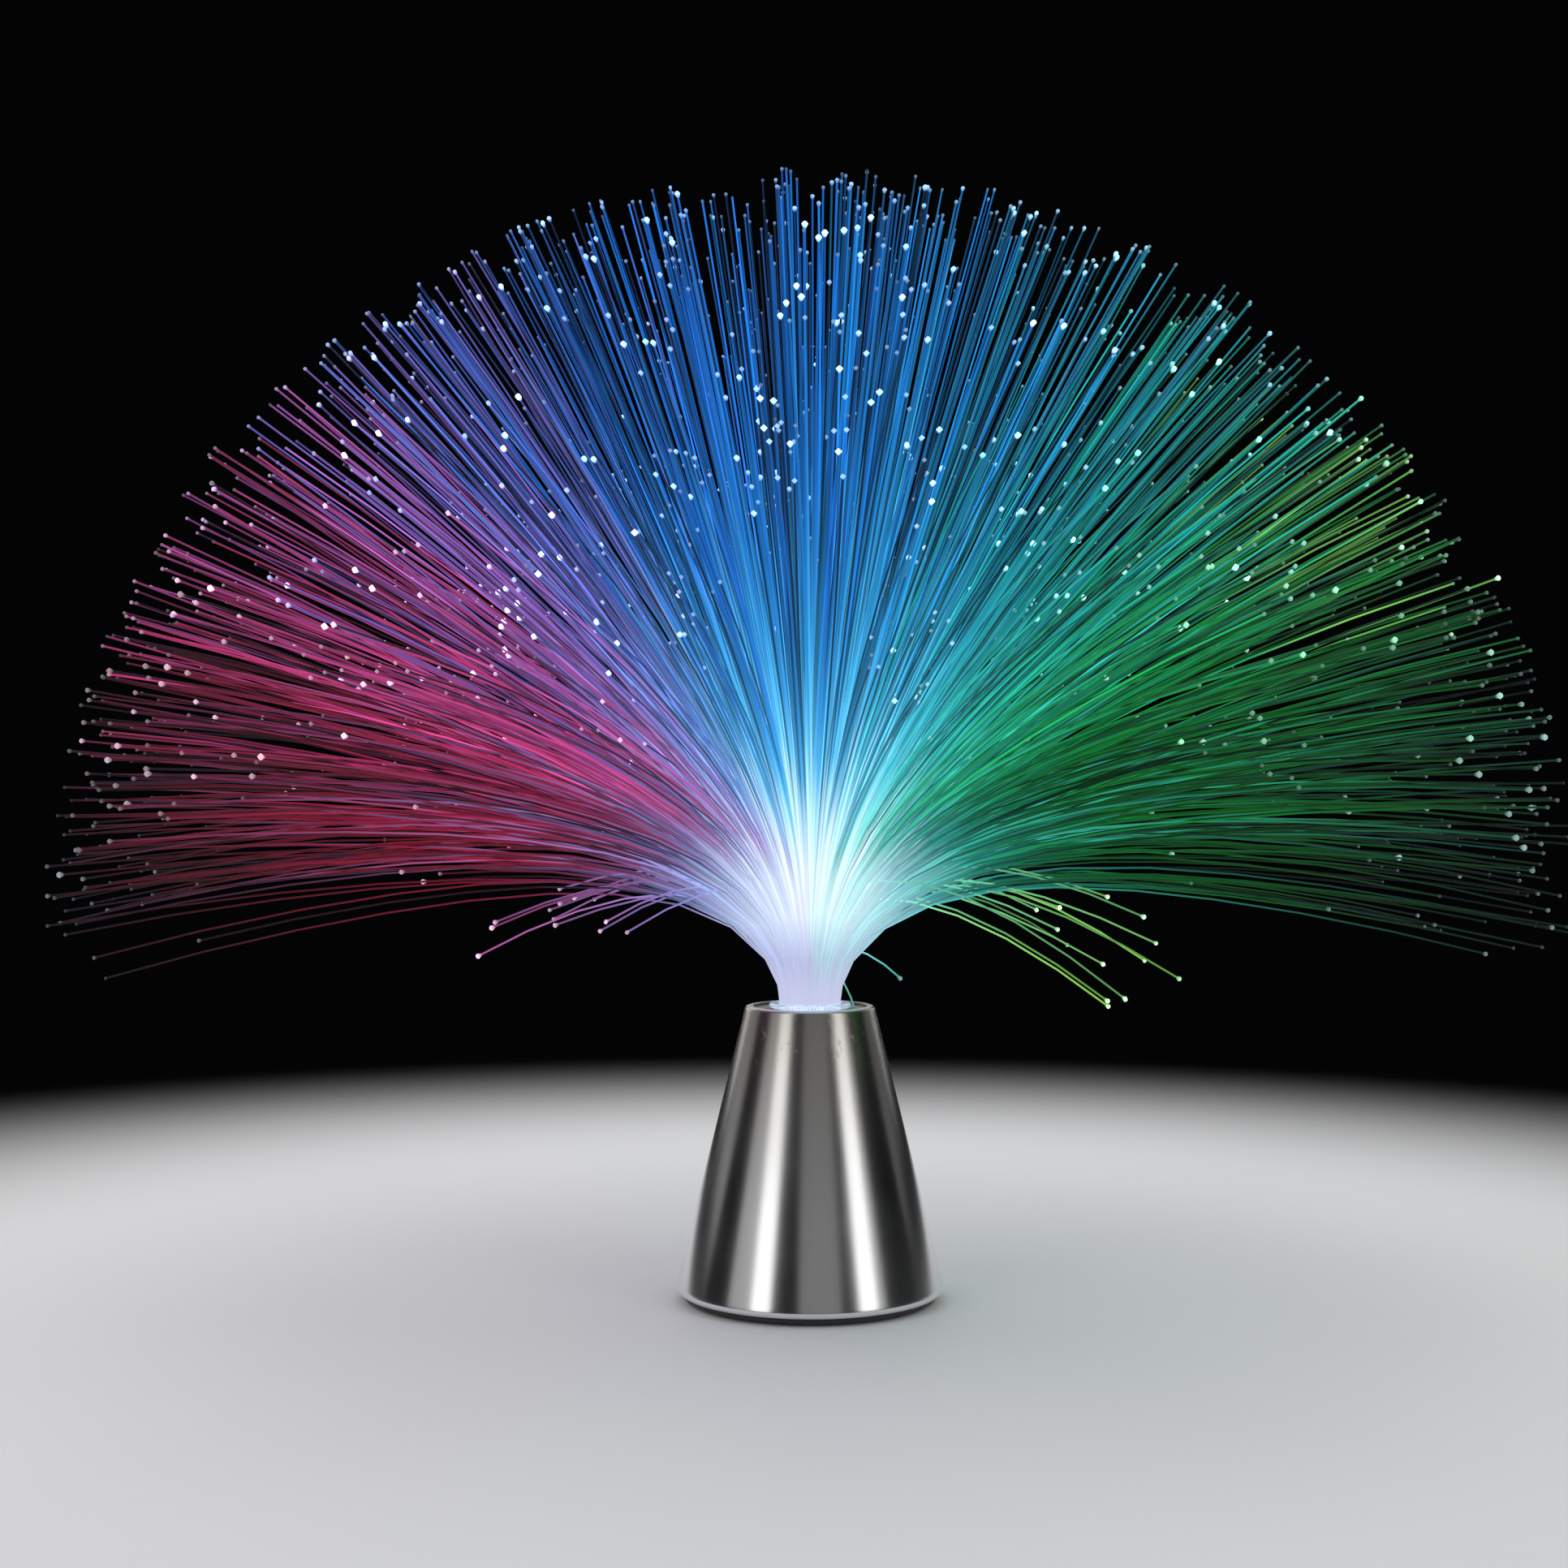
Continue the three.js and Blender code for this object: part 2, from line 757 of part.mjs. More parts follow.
// Least distance between the middles of two strands, less one thickness of strand.
function leastStrandGap( samples ) {

	let least = Infinity;
	for ( let i = 0; i < samples.length; i ++ ) {

		for ( let j = i + 1; j < samples.length; j ++ ) {

			for ( const point of samples[ i ] ) {

				for ( const other of samples[ j ] ) {

					least = Math.min( least, point.distanceToSquared( other ) );

				}

			}

		}

	}
	return Math.sqrt( least ) - 2 * strandRadius;

}

// Moulded plate under the cone: flange, snap hooks, door opening with notches, recesses and bosses.
function makeBasePlate() {

	const flangeRadius = hemInnerRadius + flangeOverlap;
	const body = revolve( [
		[ openingRadius, plateBottom ],
		[ flangeRadius, plateBottom ],
		[ flangeRadius, plateBottom + flangeThickness ],
		[ plateRadius, plateBottom + flangeThickness ],
		[ plateRadius, plateTop + plateWallHeight ],
		[ plateRadius - plateWallThickness, plateTop + plateWallHeight ],
		[ plateRadius - plateWallThickness, plateTop ],
		[ openingRadius, plateTop ],
	], coneSides );
	const hooks = aroundAxis( hookCount, 0, makeSnapHook );
	const ribs = aroundAxis( plateRibCount, Math.PI / plateRibCount, makePlateRib );
	const stops = aroundAxis( tabCount, doorStopAzimuth(), makeDoorStop );
	const bosses = switchScrewSpots().map( ( spot ) => {

		const top = switchEarBottom() - seatGap;
		return moveTo( cylinder( switchBossRadius, plateTop - fuseDepth, top, pinSides ), spot );

	} );
	const solid = join( body, hooks, ribs, stops, bosses );
	return cut( solid, plateCutters() );

}

// A hook that springs over the hem: an upright with a barb that slopes in towards its top.
function makeSnapHook() {

	const barbBottom = shellFoot + sheetThickness + seatGap;
	const root = plateRadius - plateWallThickness;
	const barb = plateRadius + hookReach;
	const outline = new THREE.Shape( [
		new THREE.Vector2( root, plateTop ),
		new THREE.Vector2( plateRadius, plateTop ),
		new THREE.Vector2( plateRadius, barbBottom ),
		new THREE.Vector2( barb, barbBottom ),
		new THREE.Vector2( plateRadius, barbBottom + hookHeight ),
		new THREE.Vector2( root, barbBottom + hookHeight ),
	] );
	const width = plateRadius * hookAngle;
	return new THREE.ExtrudeGeometry( outline, { depth: width, bevelEnabled: false } )
		.translate( 0, 0, - width / 2 )
		.rotateX( Math.PI / 2 );

}

function makePlateRib() {

	const start = skirtOuterRadius + seatGap;
	const end = plateRadius - plateWallThickness / 2;
	return block( end - start, plateRibThickness, plateTop - fuseDepth, plateTop + plateRibHeight )
		.translate( ( start + end ) / 2, 0, 0 );

}

function makeDoorStop() {

	const end = skirtInnerRadius - seatGap;
	return block( end - openingRadius, stopThickness, plateTop - fuseDepth, hubTop )
		.translate( ( openingRadius + end ) / 2, 0, 0 );

}

// The stops stand just behind the locked tabs, on the side that they can't turn to.
function doorStopAzimuth() {

	const clearance = ( slideGap + stopThickness / 2 ) / openingRadius;
	return lugAzimuths[ 0 ] + tabAngle / 2 + clearance;

}

function plateCutters() {

	const through = [ plateBottom - cutOverrun, plateTop + cutOverrun ];
	const notches = aroundAxis( tabCount, lugAzimuths[ 0 ] - doorTwist, () => {

		return sector( hubRadius, notchRadius, tabAngle / 2 + notchPlay, ...through );

	} );
	const pads = padSpots().map( ( spot ) => {

		const top = plateBottom + padRecess;
		return moveTo( cylinder( padRadius + seatGap, plateBottom - cutOverrun, top, rodSides ), spot );

	} );
	const screws = lugAzimuths.flatMap( ( azimuth ) => {

		const spot = polar( lugCircle, azimuth );
		const seat = plateBottom + screwHeadHeight + screwHeadPlay;
		const head = cylinder( screwHeadRadius + screwHeadPlay, plateBottom - cutOverrun, seat, rodSides );
		return [ moveTo( head, spot ), moveTo( cylinder( holeRadius, ...through, pinSides ), spot ) ];

	} );
	const bossHoles = switchScrewSpots().map( ( spot ) => {

		const top = switchEarBottom() + cutOverrun;
		return moveTo( cylinder( holeRadius, plateBottom + flangeThickness, top, pinSides ), spot );

	} );
	const recessLength = knobLength + switchTravel + 2 * slideGap;
	const recess = block( recessLength, knobWidth + 2 * slideGap,
		plateBottom - cutOverrun, plateBottom + knobRecessDepth );
	const window = block( knobNeckLength + switchTravel + 2 * slideGap,
		knobNeckWidth + 2 * slideGap, ...through );
	const ribRoom = block( switchLength + 2 * seatGap, switchWidth + 2 * seatGap,
		plateTop, plateTop + plateWallHeight + cutOverrun );
	const switchCuts = [ recess, window, ribRoom ].map( ( cutter ) => cutter.translate( 0, switchCircle, 0 ) );
	const lugRoom = lugAzimuths.map( ( azimuth ) => {

		const top = plateTop + plateWallHeight + cutOverrun;
		return moveTo( cylinder( lugRadius + seatGap, plateTop, top, rodSides ), polar( lugCircle, azimuth ) );

	} );
	return [ notches, pads, screws, bossHoles, switchCuts, lugRoom ].flat();

}

function padSpots() {

	return Array.from( { length: padCount }, ( _, i ) => {

		return polar( padCircle, Math.PI / padCount + i * 2 * Math.PI / padCount );

	} );

}

function makeFootPad() {

	return cylinder( padRadius, 0, plateBottom + padRecess - seatGap, rodSides );

}

// Round door in the plate: a disc with a coin slot, and a hub with three bayonet tabs inside.
function makeBatteryDoor() {

	const bottom = plateBottom + doorInset;
	const discTop = bottom + doorThickness;
	const grooveOuter = hubRadius - hubGrooveEdge;
	const body = revolve( [
		[ 0, bottom ],
		[ doorRadius, bottom ],
		[ doorRadius, discTop ],
		[ hubRadius, discTop ],
		[ hubRadius, hubTop ],
		[ grooveOuter, hubTop ],
		[ grooveOuter, hubTop - hubGrooveDepth ],
		[ grooveOuter - hubGrooveWidth, hubTop - hubGrooveDepth ],
		[ grooveOuter - hubGrooveWidth, hubTop ],
		[ 0, hubTop ],
	], ringSides );
	const tabs = aroundAxis( tabCount, lugAzimuths[ 0 ], () => {

		return sector( hubRadius - hubGrooveEdge / 2, tabRadius, tabAngle / 2, tabBottom, hubTop );

	} );
	const slotEnd = new THREE.Vector2( coinSlotLength / 2, 0 );
	const slot = strip( slotEnd.clone().negate(), slotEnd,
		coinSlotWidth, bottom - cutOverrun, bottom + coinSlotDepth );
	return cut( join( body, tabs ), slot );

}

function cellSpots() {

	return cellAzimuths.map( ( azimuth ) => polar( cellCircle, azimuth ) );

}

// Three tubes with a web between each two, on a flange with a skirt round the bayonet and three lugs.
function makeBatteryCase() {

	const flangeTop = cellBottom + caseFlangeThickness;
	const tubes = cellSpots().map( ( spot ) => {

		return moveTo( cylinder( tubeRadius, cellBottom, caseTop, tubeSides ), spot );

	} );
	const core = cylinder( centreCoreRadius, cellBottom, caseTop, rodSides );
	const flange = cylinder( skirtOuterRadius, cellBottom, flangeTop, ringSides );
	const skirt = ring( skirtInnerRadius, skirtOuterRadius, tabBottom, flangeTop, ringSides );
	const lugs = lugAzimuths.flatMap( ( azimuth ) => {

		const top = tabBottom + lugHeight;
		const web = block( lugCircle - skirtInnerRadius, lugRadius, tabBottom, top )
			.translate( ( lugCircle + skirtInnerRadius ) / 2 + skirtThickness / 2, 0, 0 )
			.rotateZ( azimuth );
		return [ moveTo( cylinder( lugRadius, tabBottom, top, rodSides ), polar( lugCircle, azimuth ) ), web ];

	} );
	const bosses = lugAzimuths.map( ( azimuth ) => {

		const spot = polar( capBossCircle, azimuth );
		return moveTo( cylinder( capBossRadius, caseTop - capBossDepth, caseTop, rodSides ), spot );

	} );
	const bores = cellSpots().map( ( spot ) => {

		return moveTo( cylinder( tubeBore, cellBottom - cutOverrun, caseTop + cutOverrun, tubeSides ), spot );

	} );
	const rodBore = cylinder( returnRodRadius + seatGap,
		cellBottom - cutOverrun, caseTop + cutOverrun, pinSides );
	const lugHoles = lugAzimuths.map( ( azimuth ) => {

		const top = plateBottom + screwHeadHeight + caseScrewLength + seatGap;
		const hole = cylinder( holeRadius, tabBottom - cutOverrun, top, pinSides );
		return moveTo( hole, polar( lugCircle, azimuth ) );

	} );
	const bossHoles = lugAzimuths.map( ( azimuth ) => {

		const bottom = capTop - capScrewLength - seatGap;
		const hole = cylinder( holeRadius, bottom, caseTop + cutOverrun, pinSides );
		return moveTo( hole, polar( capBossCircle, azimuth ) );

	} );
	const solid = join( tubes, core, flange, skirt, lugs, bosses );
	return cut( solid, bores, rodBore, lugHoles, bossHoles );

}

// A dry cell with its button up.
function makeCell() {

	const bodyTop = cellLength - cellButtonHeight;
	return revolve( [
		[ 0, 0 ],
		[ cellRadius, 0 ],
		[ cellRadius, bodyTop - cellShoulder ],
		[ cellRadius - cellShoulder, bodyTop ],
		[ cellButtonRadius, bodyTop ],
		[ cellButtonRadius, cellLength ],
		[ 0, cellLength ],
	], rodSides );

}

// A coil that winds up from a wide foot to a narrow tip.
class SpringCurve extends THREE.Curve {

	getPoint( share ) {

		const radius = THREE.MathUtils.lerp( springFootRadius, springTipRadius, share );
		const spot = polar( radius, share * springTurns * 2 * Math.PI );
		const height = THREE.MathUtils.lerp( springWireRadius / 2, springHeight - springWireRadius, share );
		return new THREE.Vector3( spot.x, spot.y, height );

	}

}

function makeSpring() {

	return sweep( new SpringCurve(), springWireRadius, springWireSides, springSteps );

}

// Least distance between neighbouring turns of the spring, less one thickness of wire.
function leastSpringGap() {

	const points = new SpringCurve().getPoints( springSteps * gapSamples );
	const turn = Math.round( springSteps * gapSamples / springTurns );
	let least = Infinity;
	for ( let i = 0; i + turn / 2 < points.length; i ++ ) {

		for ( let j = i + Math.round( turn / 2 ); j < points.length; j ++ ) {

			least = Math.min( least, points[ i ].distanceTo( points[ j ] ) );

		}

	}
	return least - 2 * springWireRadius;

}

function makeContactSeat( spot ) {

	return moveTo( cylinder( contactSeatRadius, 0, contactThickness, rodSides ), spot );

}

// A plate between two cells with a spring for one cell's flat end and a pad for the other's button.
function makeBridgeContact( springSpot, padSpot ) {

	const plate = strip( springSpot, padSpot, contactStripWidth, 0, contactThickness );
	const seats = [ springSpot, padSpot ].map( makeContactSeat );
	const spring = moveTo( makeSpring().translate( 0, 0, contactThickness ), springSpot );
	const padTop = contactThickness + springHeight;
	const pad = moveTo( cylinder( contactPadRadius, contactThickness / 2, padTop, rodSides ), padSpot );
	return join( plate, seats, spring, pad );

}

// The last cell's spring, joined to a pad in the middle that meets the return rod.
function makeReturnContact( springSpot ) {

	const centre = new THREE.Vector2();
	const plate = strip( springSpot, centre, 2 * returnPadRadius, 0, contactThickness );
	const seat = makeContactSeat( springSpot );
	const spring = moveTo( makeSpring().translate( 0, 0, contactThickness ), springSpot );
	const padTop = contactThickness + springHeight;
	const pad = cylinder( returnPadRadius / 2, contactThickness / 2, padTop, pinSides );
	return join( plate, seat, spring, pad );

}

// The first cell's button contact, with a solder tab that stands up through the cap.
function makePositiveContact( spot, azimuth ) {

	const tab = block( solderTabThickness, solderTabWidth, capContactBottom, capTop + solderTabHeight )
		.translate( tabCircle(), 0, 0 )
		.rotateZ( azimuth );
	const reach = polar( tabCircle(), azimuth );
	const plate = strip( spot, reach, solderTabWidth + solderTabThickness, capContactBottom, capContactTop );
	const seat = makeContactSeat( spot ).translate( 0, 0, capContactBottom );
	const padBottom = cellTop + seatGap;
	const pad = moveTo( cylinder( contactPadRadius, padBottom, capContactTop, rodSides ), spot );
	return join( plate, seat, pad, tab );

}

function tabCircle() {

	return cellCircle + contactSeatRadius + solderTabThickness;

}

// Lid of the case, with posts for the board, seats on the case and openings for tab, rod and screws.
function makeContactCap() {

	const disc = cylinder( capRadius, capBottom, capTop, tubeSides );
	const posts = lugAzimuths.map( ( azimuth ) => {

		const post = cylinder( postRadius, capBottom, capTop + postHeight, rodSides );
		return moveTo( post, polar( postCircle, azimuth ) );

	} );
	const seats = lugAzimuths.map( ( azimuth ) => {

		const seat = cylinder( capBossRadius, caseTop + seatGap, capTop, rodSides );
		return moveTo( seat, polar( capBossCircle, azimuth ) );

	} );
	const screwHoles = lugAzimuths.flatMap( ( azimuth ) => {

		const spot = polar( capBossCircle, azimuth );
		const postSpot = polar( postCircle, azimuth );
		const postHoleBottom = boardTop - boardScrewLength - seatGap;
		const postHoleTop = capTop + postHeight + cutOverrun;
		const head = capTop - screwHeadHeight;
		return [
			moveTo( cylinder( holeRadius, caseTop, capTop + cutOverrun, pinSides ), spot ),
			moveTo( cylinder( smallHeadRadius + seatGap, head, capTop + cutOverrun, rodSides ), spot ),
			moveTo( cylinder( holeRadius, postHoleBottom, postHoleTop, pinSides ), postSpot ),
		];

	} );
	const rodHole = cylinder( returnRodRadius + seatGap,
		capBottom - cutOverrun, capTop + cutOverrun, pinSides );
	const tabSlot = block( solderTabThickness + 2 * seatGap, solderTabWidth + 2 * seatGap,
		capBottom - cutOverrun, capTop + cutOverrun )
		.translate( tabCircle(), 0, 0 )
		.rotateZ( cellAzimuths[ 0 ] );
	return cut( join( disc, posts, seats ), screwHoles, rodHole, tabSlot );

}

// Round board with holes for its screws and a notch in its edge for each lead.
function makeLedBoard() {

	const disc = cylinder( boardRadius, boardBottom, boardTop, ringSides );
	const holes = lugAzimuths.map( ( azimuth ) => {

		const hole = cylinder( holeRadius, boardBottom - cutOverrun, boardTop + cutOverrun, pinSides );
		return moveTo( hole, polar( postCircle, azimuth ) );

	} );
	const notches = [ leadAzimuths[ 0 ], leadAzimuths[ 2 ] ].map( ( azimuth ) => {

		return block( 2 * boardNotchDepth, boardNotchWidth, boardBottom - cutOverrun, boardTop + cutOverrun )
			.translate( boardRadius, 0, 0 )
			.rotateZ( azimuth );

	} );
	return cut( disc, holes, notches );

}

// A round-headed LED: flange, straight body and dome.
function makeLed() {

	const domeBase = partsBottom + ledHeight - ledRadius;
	return revolve( [
		[ 0, partsBottom ],
		[ ledFlangeRadius, partsBottom ],
		[ ledFlangeRadius, partsBottom + ledFlangeHeight ],
		[ ledRadius, partsBottom + ledFlangeHeight ],
		...arc( 0, domeBase, ledRadius, 0, Math.PI / 2, domeSteps ),
	], rodSides );

}

// A resistor lying along Y: a body swollen at both ends, with its leads bent down to the board.
function makeResistor() {

	const half = resistorLength / 2;
	const swell = resistorLength * resistorSwellShare;
	const neck = resistorLength * resistorNeckShare;
	const height = partsBottom + resistorStandoff + resistorRadius;
	const body = revolve( [
		[ 0, - half ],
		[ resistorRadius, - half ],
		[ resistorRadius, - half + swell ],
		[ resistorWaistRadius, - half + neck ],
		[ resistorWaistRadius, half - neck ],
		[ resistorRadius, half - swell ],
		[ resistorRadius, half ],
		[ 0, half ],
	], pinSides ).rotateX( Math.PI / 2 ).translate( 0, 0, height );
	const reach = half + resistorLeadOverhang;
	const wireWidth = 2 * resistorLeadRadius;
	const wire = block( wireWidth, 2 * reach, height - resistorLeadRadius, height + resistorLeadRadius );
	const legs = [ - 1, 1 ].map( ( side ) => {

		const leg = block( wireWidth, wireWidth, partsBottom, height );
		return leg.translate( 0, side * ( reach - resistorLeadRadius ), 0 );

	} );
	return join( body, wire, legs );

}

// The colour controller: a small flat package with a row of legs on each side.
function makeChip() {

	const bodyBottom = partsBottom + chipLegHeight / 2;
	const body = block( chipWidth, chipLength, bodyBottom, bodyBottom + chipHeight );
	const reach = chipWidth + 2 * chipLegReach;
	const legs = Array.from( { length: chipLegCount }, ( _, i ) => {

		const y = ( i - ( chipLegCount - 1 ) / 2 ) * chipLegPitch;
		return block( reach, chipLegWidth, partsBottom, partsBottom + chipLegHeight ).translate( 0, y, 0 );

	} );
	return join( body, legs );

}

function switchScrewSpots() {

	return [ - 1, 1 ].map( ( side ) => new THREE.Vector2( side * switchScrewSpread, switchCircle ) );

}

function switchEarBottom() {

	return plateTop + seatGap + switchEarRise;

}

// The switch: a case with a slot for the knob's neck, an ear at each end and three terminals.
function makeSwitchBody() {

	const bottom = plateTop + seatGap;
	const top = bottom + switchHeight;
	const earBottom = switchEarBottom();
	const earLength = switchLength + 2 * switchEarReach;
	const body = block( switchLength, switchWidth, bottom, top );
	const ears = block( earLength, 2 * switchBossRadius, earBottom, earBottom + switchEarThickness );
	const terminals = Array.from( { length: terminalCount }, ( _, i ) => {

		const x = ( i - ( terminalCount - 1 ) / 2 ) * terminalPitch;
		return block( terminalWidth, terminalThickness, top - terminalThickness, top + terminalHeight )
			.translate( x, 0, 0 );

	} );
	const slot = block( knobNeckLength + switchTravel + 2 * slideGap, knobNeckWidth + 2 * slideGap,
		bottom - cutOverrun, bottom + knobNeckDepth + slideGap );
	const holes = [ - 1, 1 ].map( ( side ) => {

		const top = earBottom + switchEarThickness + cutOverrun;
		return cylinder( holeRadius, earBottom - cutOverrun, top, pinSides )
			.translate( side * switchScrewSpread, 0, 0 );

	} );
	return cut( join( body, ears, terminals ), slot, holes ).translate( 0, switchCircle, 0 );

}

// The knob stands at its on end. Its cap is ribbed for a fingertip and its neck enters the switch.
function makeSwitchKnob() {

	const bottom = plateBottom + knobInset;
	const capTopHeight = bottom + knobThickness;
	const neckTop = plateTop + seatGap + knobNeckDepth;
	const cap = block( knobLength, knobWidth, bottom, capTopHeight );
	const neck = block( knobNeckLength, knobNeckWidth, bottom, neckTop );
	const pitch = knobLength / knobRidgeCount;
	const ridges = Array.from( { length: knobRidgeCount }, ( _, i ) => {

		const x = ( i - ( knobRidgeCount - 1 ) / 2 ) * pitch;
		return block( knobRidgeThickness, knobWidth, bottom - knobRidgeHeight, capTopHeight )
			.translate( x, 0, 0 );

	} );
	return join( cap, neck, ridges ).translate( switchTravel / 2, switchCircle, 0 );

}

// A screw with its head up and the underside of its head at height zero.
function makeScrew( headRadius, length ) {

	return revolve( [
		[ 0, - length ],
		[ screwShankRadius, - length + screwPoint ],
		[ screwShankRadius, 0 ],
		[ headRadius, 0 ],
		[ headRadius, screwHeadHeight ],
		[ 0, screwHeadHeight ],
	], pinSides );

}

// A lead that climbs from one point beside the cone's wall to another, given in the upright plane
// of its azimuth as [ radius, height ].
function makeLead( route, azimuth ) {

	const points = route.map( ( [ radius, height, turn = 0 ] ) => {

		const spot = polar( radius, azimuth + turn );
		return new THREE.Vector3( spot.x, spot.y, height );

	} );
	return sweep( new THREE.CatmullRomCurve3( points ), leadRadius, leadSides, leadSteps );

}

// From the switch's last terminal up the wall, through the board's notch and down onto the board.
function makeSwitchLead() {

	const bottom = plateTop + seatGap + switchHeight + terminalHeight + seatGap;
	const edge = boardRadius - boardNotchDepth / 2;
	const wall = ( height ) => [ coneInside( height ) - leadWallGap, height ];
	const start = new THREE.Vector2( terminalPitch, switchCircle );
	const turn = start.angle() - leadAzimuths[ 0 ];
	const landing = ( boardRadius + sleeveRadius ) / 2;
	return makeLead( [
		[ start.length(), bottom, turn ],
		[ start.length(), bottom + leadRise, turn ],
		wall( bottom + leadBend ),
		wall( ( bottom + capBottom ) / 2 ),
		wall( capBottom - leadRise ),
		[ edge, boardBottom ],
		[ edge, boardTop + leadWallGap ],
		[ ( edge + landing ) / 2, boardTop + leadLoopHeight ],
		[ landing, boardTop + leadLandingHeight ],
		[ landing, partsBottom ],
	], leadAzimuths[ 0 ] );

}

// From the switch's middle terminal up the wall and in over the cap to the return rod.
function makeReturnLead() {

	const bottom = plateTop + seatGap + switchHeight + terminalHeight + seatGap;
	const layer = capTop + seatGap + leadRadius;
	const wall = ( height ) => [ coneInside( height ) - leadWallGap, height ];
	const turn = Math.PI / 2 - leadAzimuths[ 1 ];
	const rodSide = returnRodRadius + seatGap + leadRadius;
	return makeLead( [
		[ switchCircle, bottom, turn ],
		[ switchCircle, bottom + leadRise, turn ],
		wall( bottom + leadBend ),
		wall( ( bottom + capBottom ) / 2 ),
		wall( capBottom - leadDrop ),
		[ coneInside( capTop ) - leadWallGap, capBottom ],
		[ capRadius, layer + leadRadius / 2 ],
		[ capRadius * leadCrossingShare, layer ],
		[ rodSide, layer ],
	], leadAzimuths[ 1 ] );

}

// From the positive solder tab out over the cap, up through the board's notch and onto the board.
function makePositiveLead() {

	const layer = capTop + seatGap + leadRadius;
	const edge = boardRadius - boardNotchDepth / 2;
	const start = tabCircle() + solderTabThickness / 2 + seatGap;
	const turn = cellAzimuths[ 0 ] - leadAzimuths[ 2 ];
	const landing = ( boardRadius + sleeveRadius ) / 2;
	return makeLead( [
		[ start, layer, turn ],
		[ start + leadWallGap, layer, turn ],
		[ edge, layer + leadRadius, turn / 2 ],
		[ edge, boardBottom ],
		[ edge, boardTop + leadWallGap ],
		[ ( edge + landing ) / 2, boardTop + leadLoopHeight ],
		[ landing, boardTop + leadLandingHeight ],
		[ landing, partsBottom ],
	], leadAzimuths[ 2 ] );

}

// Materials
const materials = {
	shell: new THREE.MeshStandardMaterial( { color: 0xc9cacb, roughness: 0.22, metalness: 1 } ),
	blackPlastic: new THREE.MeshStandardMaterial( { color: 0x1d1d20, roughness: 0.5, metalness: 0 } ),
	greyPlastic: new THREE.MeshStandardMaterial( { color: 0x303136, roughness: 0.45, metalness: 0 } ),
	rubber: new THREE.MeshStandardMaterial( { color: 0x2a2a2c, roughness: 0.9, metalness: 0 } ),
	clear: new THREE.MeshStandardMaterial( { color: 0xdfe8ee, roughness: 0.1, metalness: 0 } ),
	board: new THREE.MeshStandardMaterial( { color: 0x1d6b3a, roughness: 0.4, metalness: 0 } ),
	chip: new THREE.MeshStandardMaterial( { color: 0x151517, roughness: 0.4, metalness: 0 } ),
	resistor: new THREE.MeshStandardMaterial( { color: 0xc9ab7a, roughness: 0.5, metalness: 0 } ),
	springSteel: new THREE.MeshStandardMaterial( { color: 0xb9bcc0, roughness: 0.25, metalness: 1 } ),
	brass: new THREE.MeshStandardMaterial( { color: 0xc9a24a, roughness: 0.3, metalness: 1 } ),
	screw: new THREE.MeshStandardMaterial( { color: 0x9a9da1, roughness: 0.35, metalness: 1 } ),
	cell: new THREE.MeshStandardMaterial( { color: 0x3a5568, roughness: 0.35, metalness: 0.4 } ),
	redLed: new THREE.MeshStandardMaterial( { color: 0xe0303c, roughness: 0.1, metalness: 0 } ),
	blueLed: new THREE.MeshStandardMaterial( { color: 0x2d55d8, roughness: 0.1, metalness: 0 } ),
	greenLed: new THREE.MeshStandardMaterial( { color: 0x2fae55, roughness: 0.1, metalness: 0 } ),
	redLead: new THREE.MeshStandardMaterial( { color: 0xb3261f, roughness: 0.5, metalness: 0 } ),
	blackLead: new THREE.MeshStandardMaterial( { color: 0x202022, roughness: 0.5, metalness: 0 } ),
	whiteLead: new THREE.MeshStandardMaterial( { color: 0xd8d8d4, roughness: 0.5, metalness: 0 } ),
	redFibre: new THREE.MeshStandardMaterial( { color: 0xc2365f, roughness: 0.2, metalness: 0 } ),
	blueFibre: new THREE.MeshStandardMaterial( { color: 0x2a6bd0, roughness: 0.2, metalness: 0 } ),
	greenFibre: new THREE.MeshStandardMaterial( { color: 0x1f9a5a, roughness: 0.2, metalness: 0 } ),
};

const lamp = new THREE.Group();
const samples = [];

function add( name, geometry, material ) {

	const mesh = new THREE.Mesh( geometry, material );
	mesh.name = name;
	lamp.add( mesh );
	return mesh;

}

function addCopies( name, geometry, material, spots, height = 0 ) {

	spots.forEach( ( spot, i ) => {

		add( `${ name }_${ i + 1 }`, geometry, material ).position.set( spot.x, spot.y, height );

	} );

}

add( 'cone_shell', makeConeShell(), materials.shell );
add( 'socket_collar', makeSocketCollar(), materials.greyPlastic );
add( 'base_plate', makeBasePlate(), materials.blackPlastic );
addCopies( 'foot_pad', makeFootPad(), materials.rubber, padSpots() );

add( 'battery_case', makeBatteryCase(), materials.blackPlastic );
add( 'contact_cap', makeContactCap(), materials.greyPlastic );

const lugSpots = lugAzimuths.map( ( azimuth ) => polar( lugCircle, azimuth ) );
const capScrewSpots = lugAzimuths.map( ( azimuth ) => polar( capBossCircle, azimuth ) );
const postSpots = lugAzimuths.map( ( azimuth ) => polar( postCircle, azimuth ) );
const caseScrew = makeScrew( screwHeadRadius, caseScrewLength ).rotateX( Math.PI );
addCopies( 'case_screw', caseScrew, materials.screw, lugSpots, plateBottom + screwHeadHeight + seatGap / 3 );
const capScrewHeight = capTop - screwHeadHeight + seatGap;
addCopies( 'cap_screw', makeScrew( smallHeadRadius, capScrewLength - screwHeadHeight ), materials.screw,
	capScrewSpots, capScrewHeight );
addCopies( 'board_screw', makeScrew( smallHeadRadius, boardScrewLength ), materials.screw,
	postSpots, boardTop + seatGap );
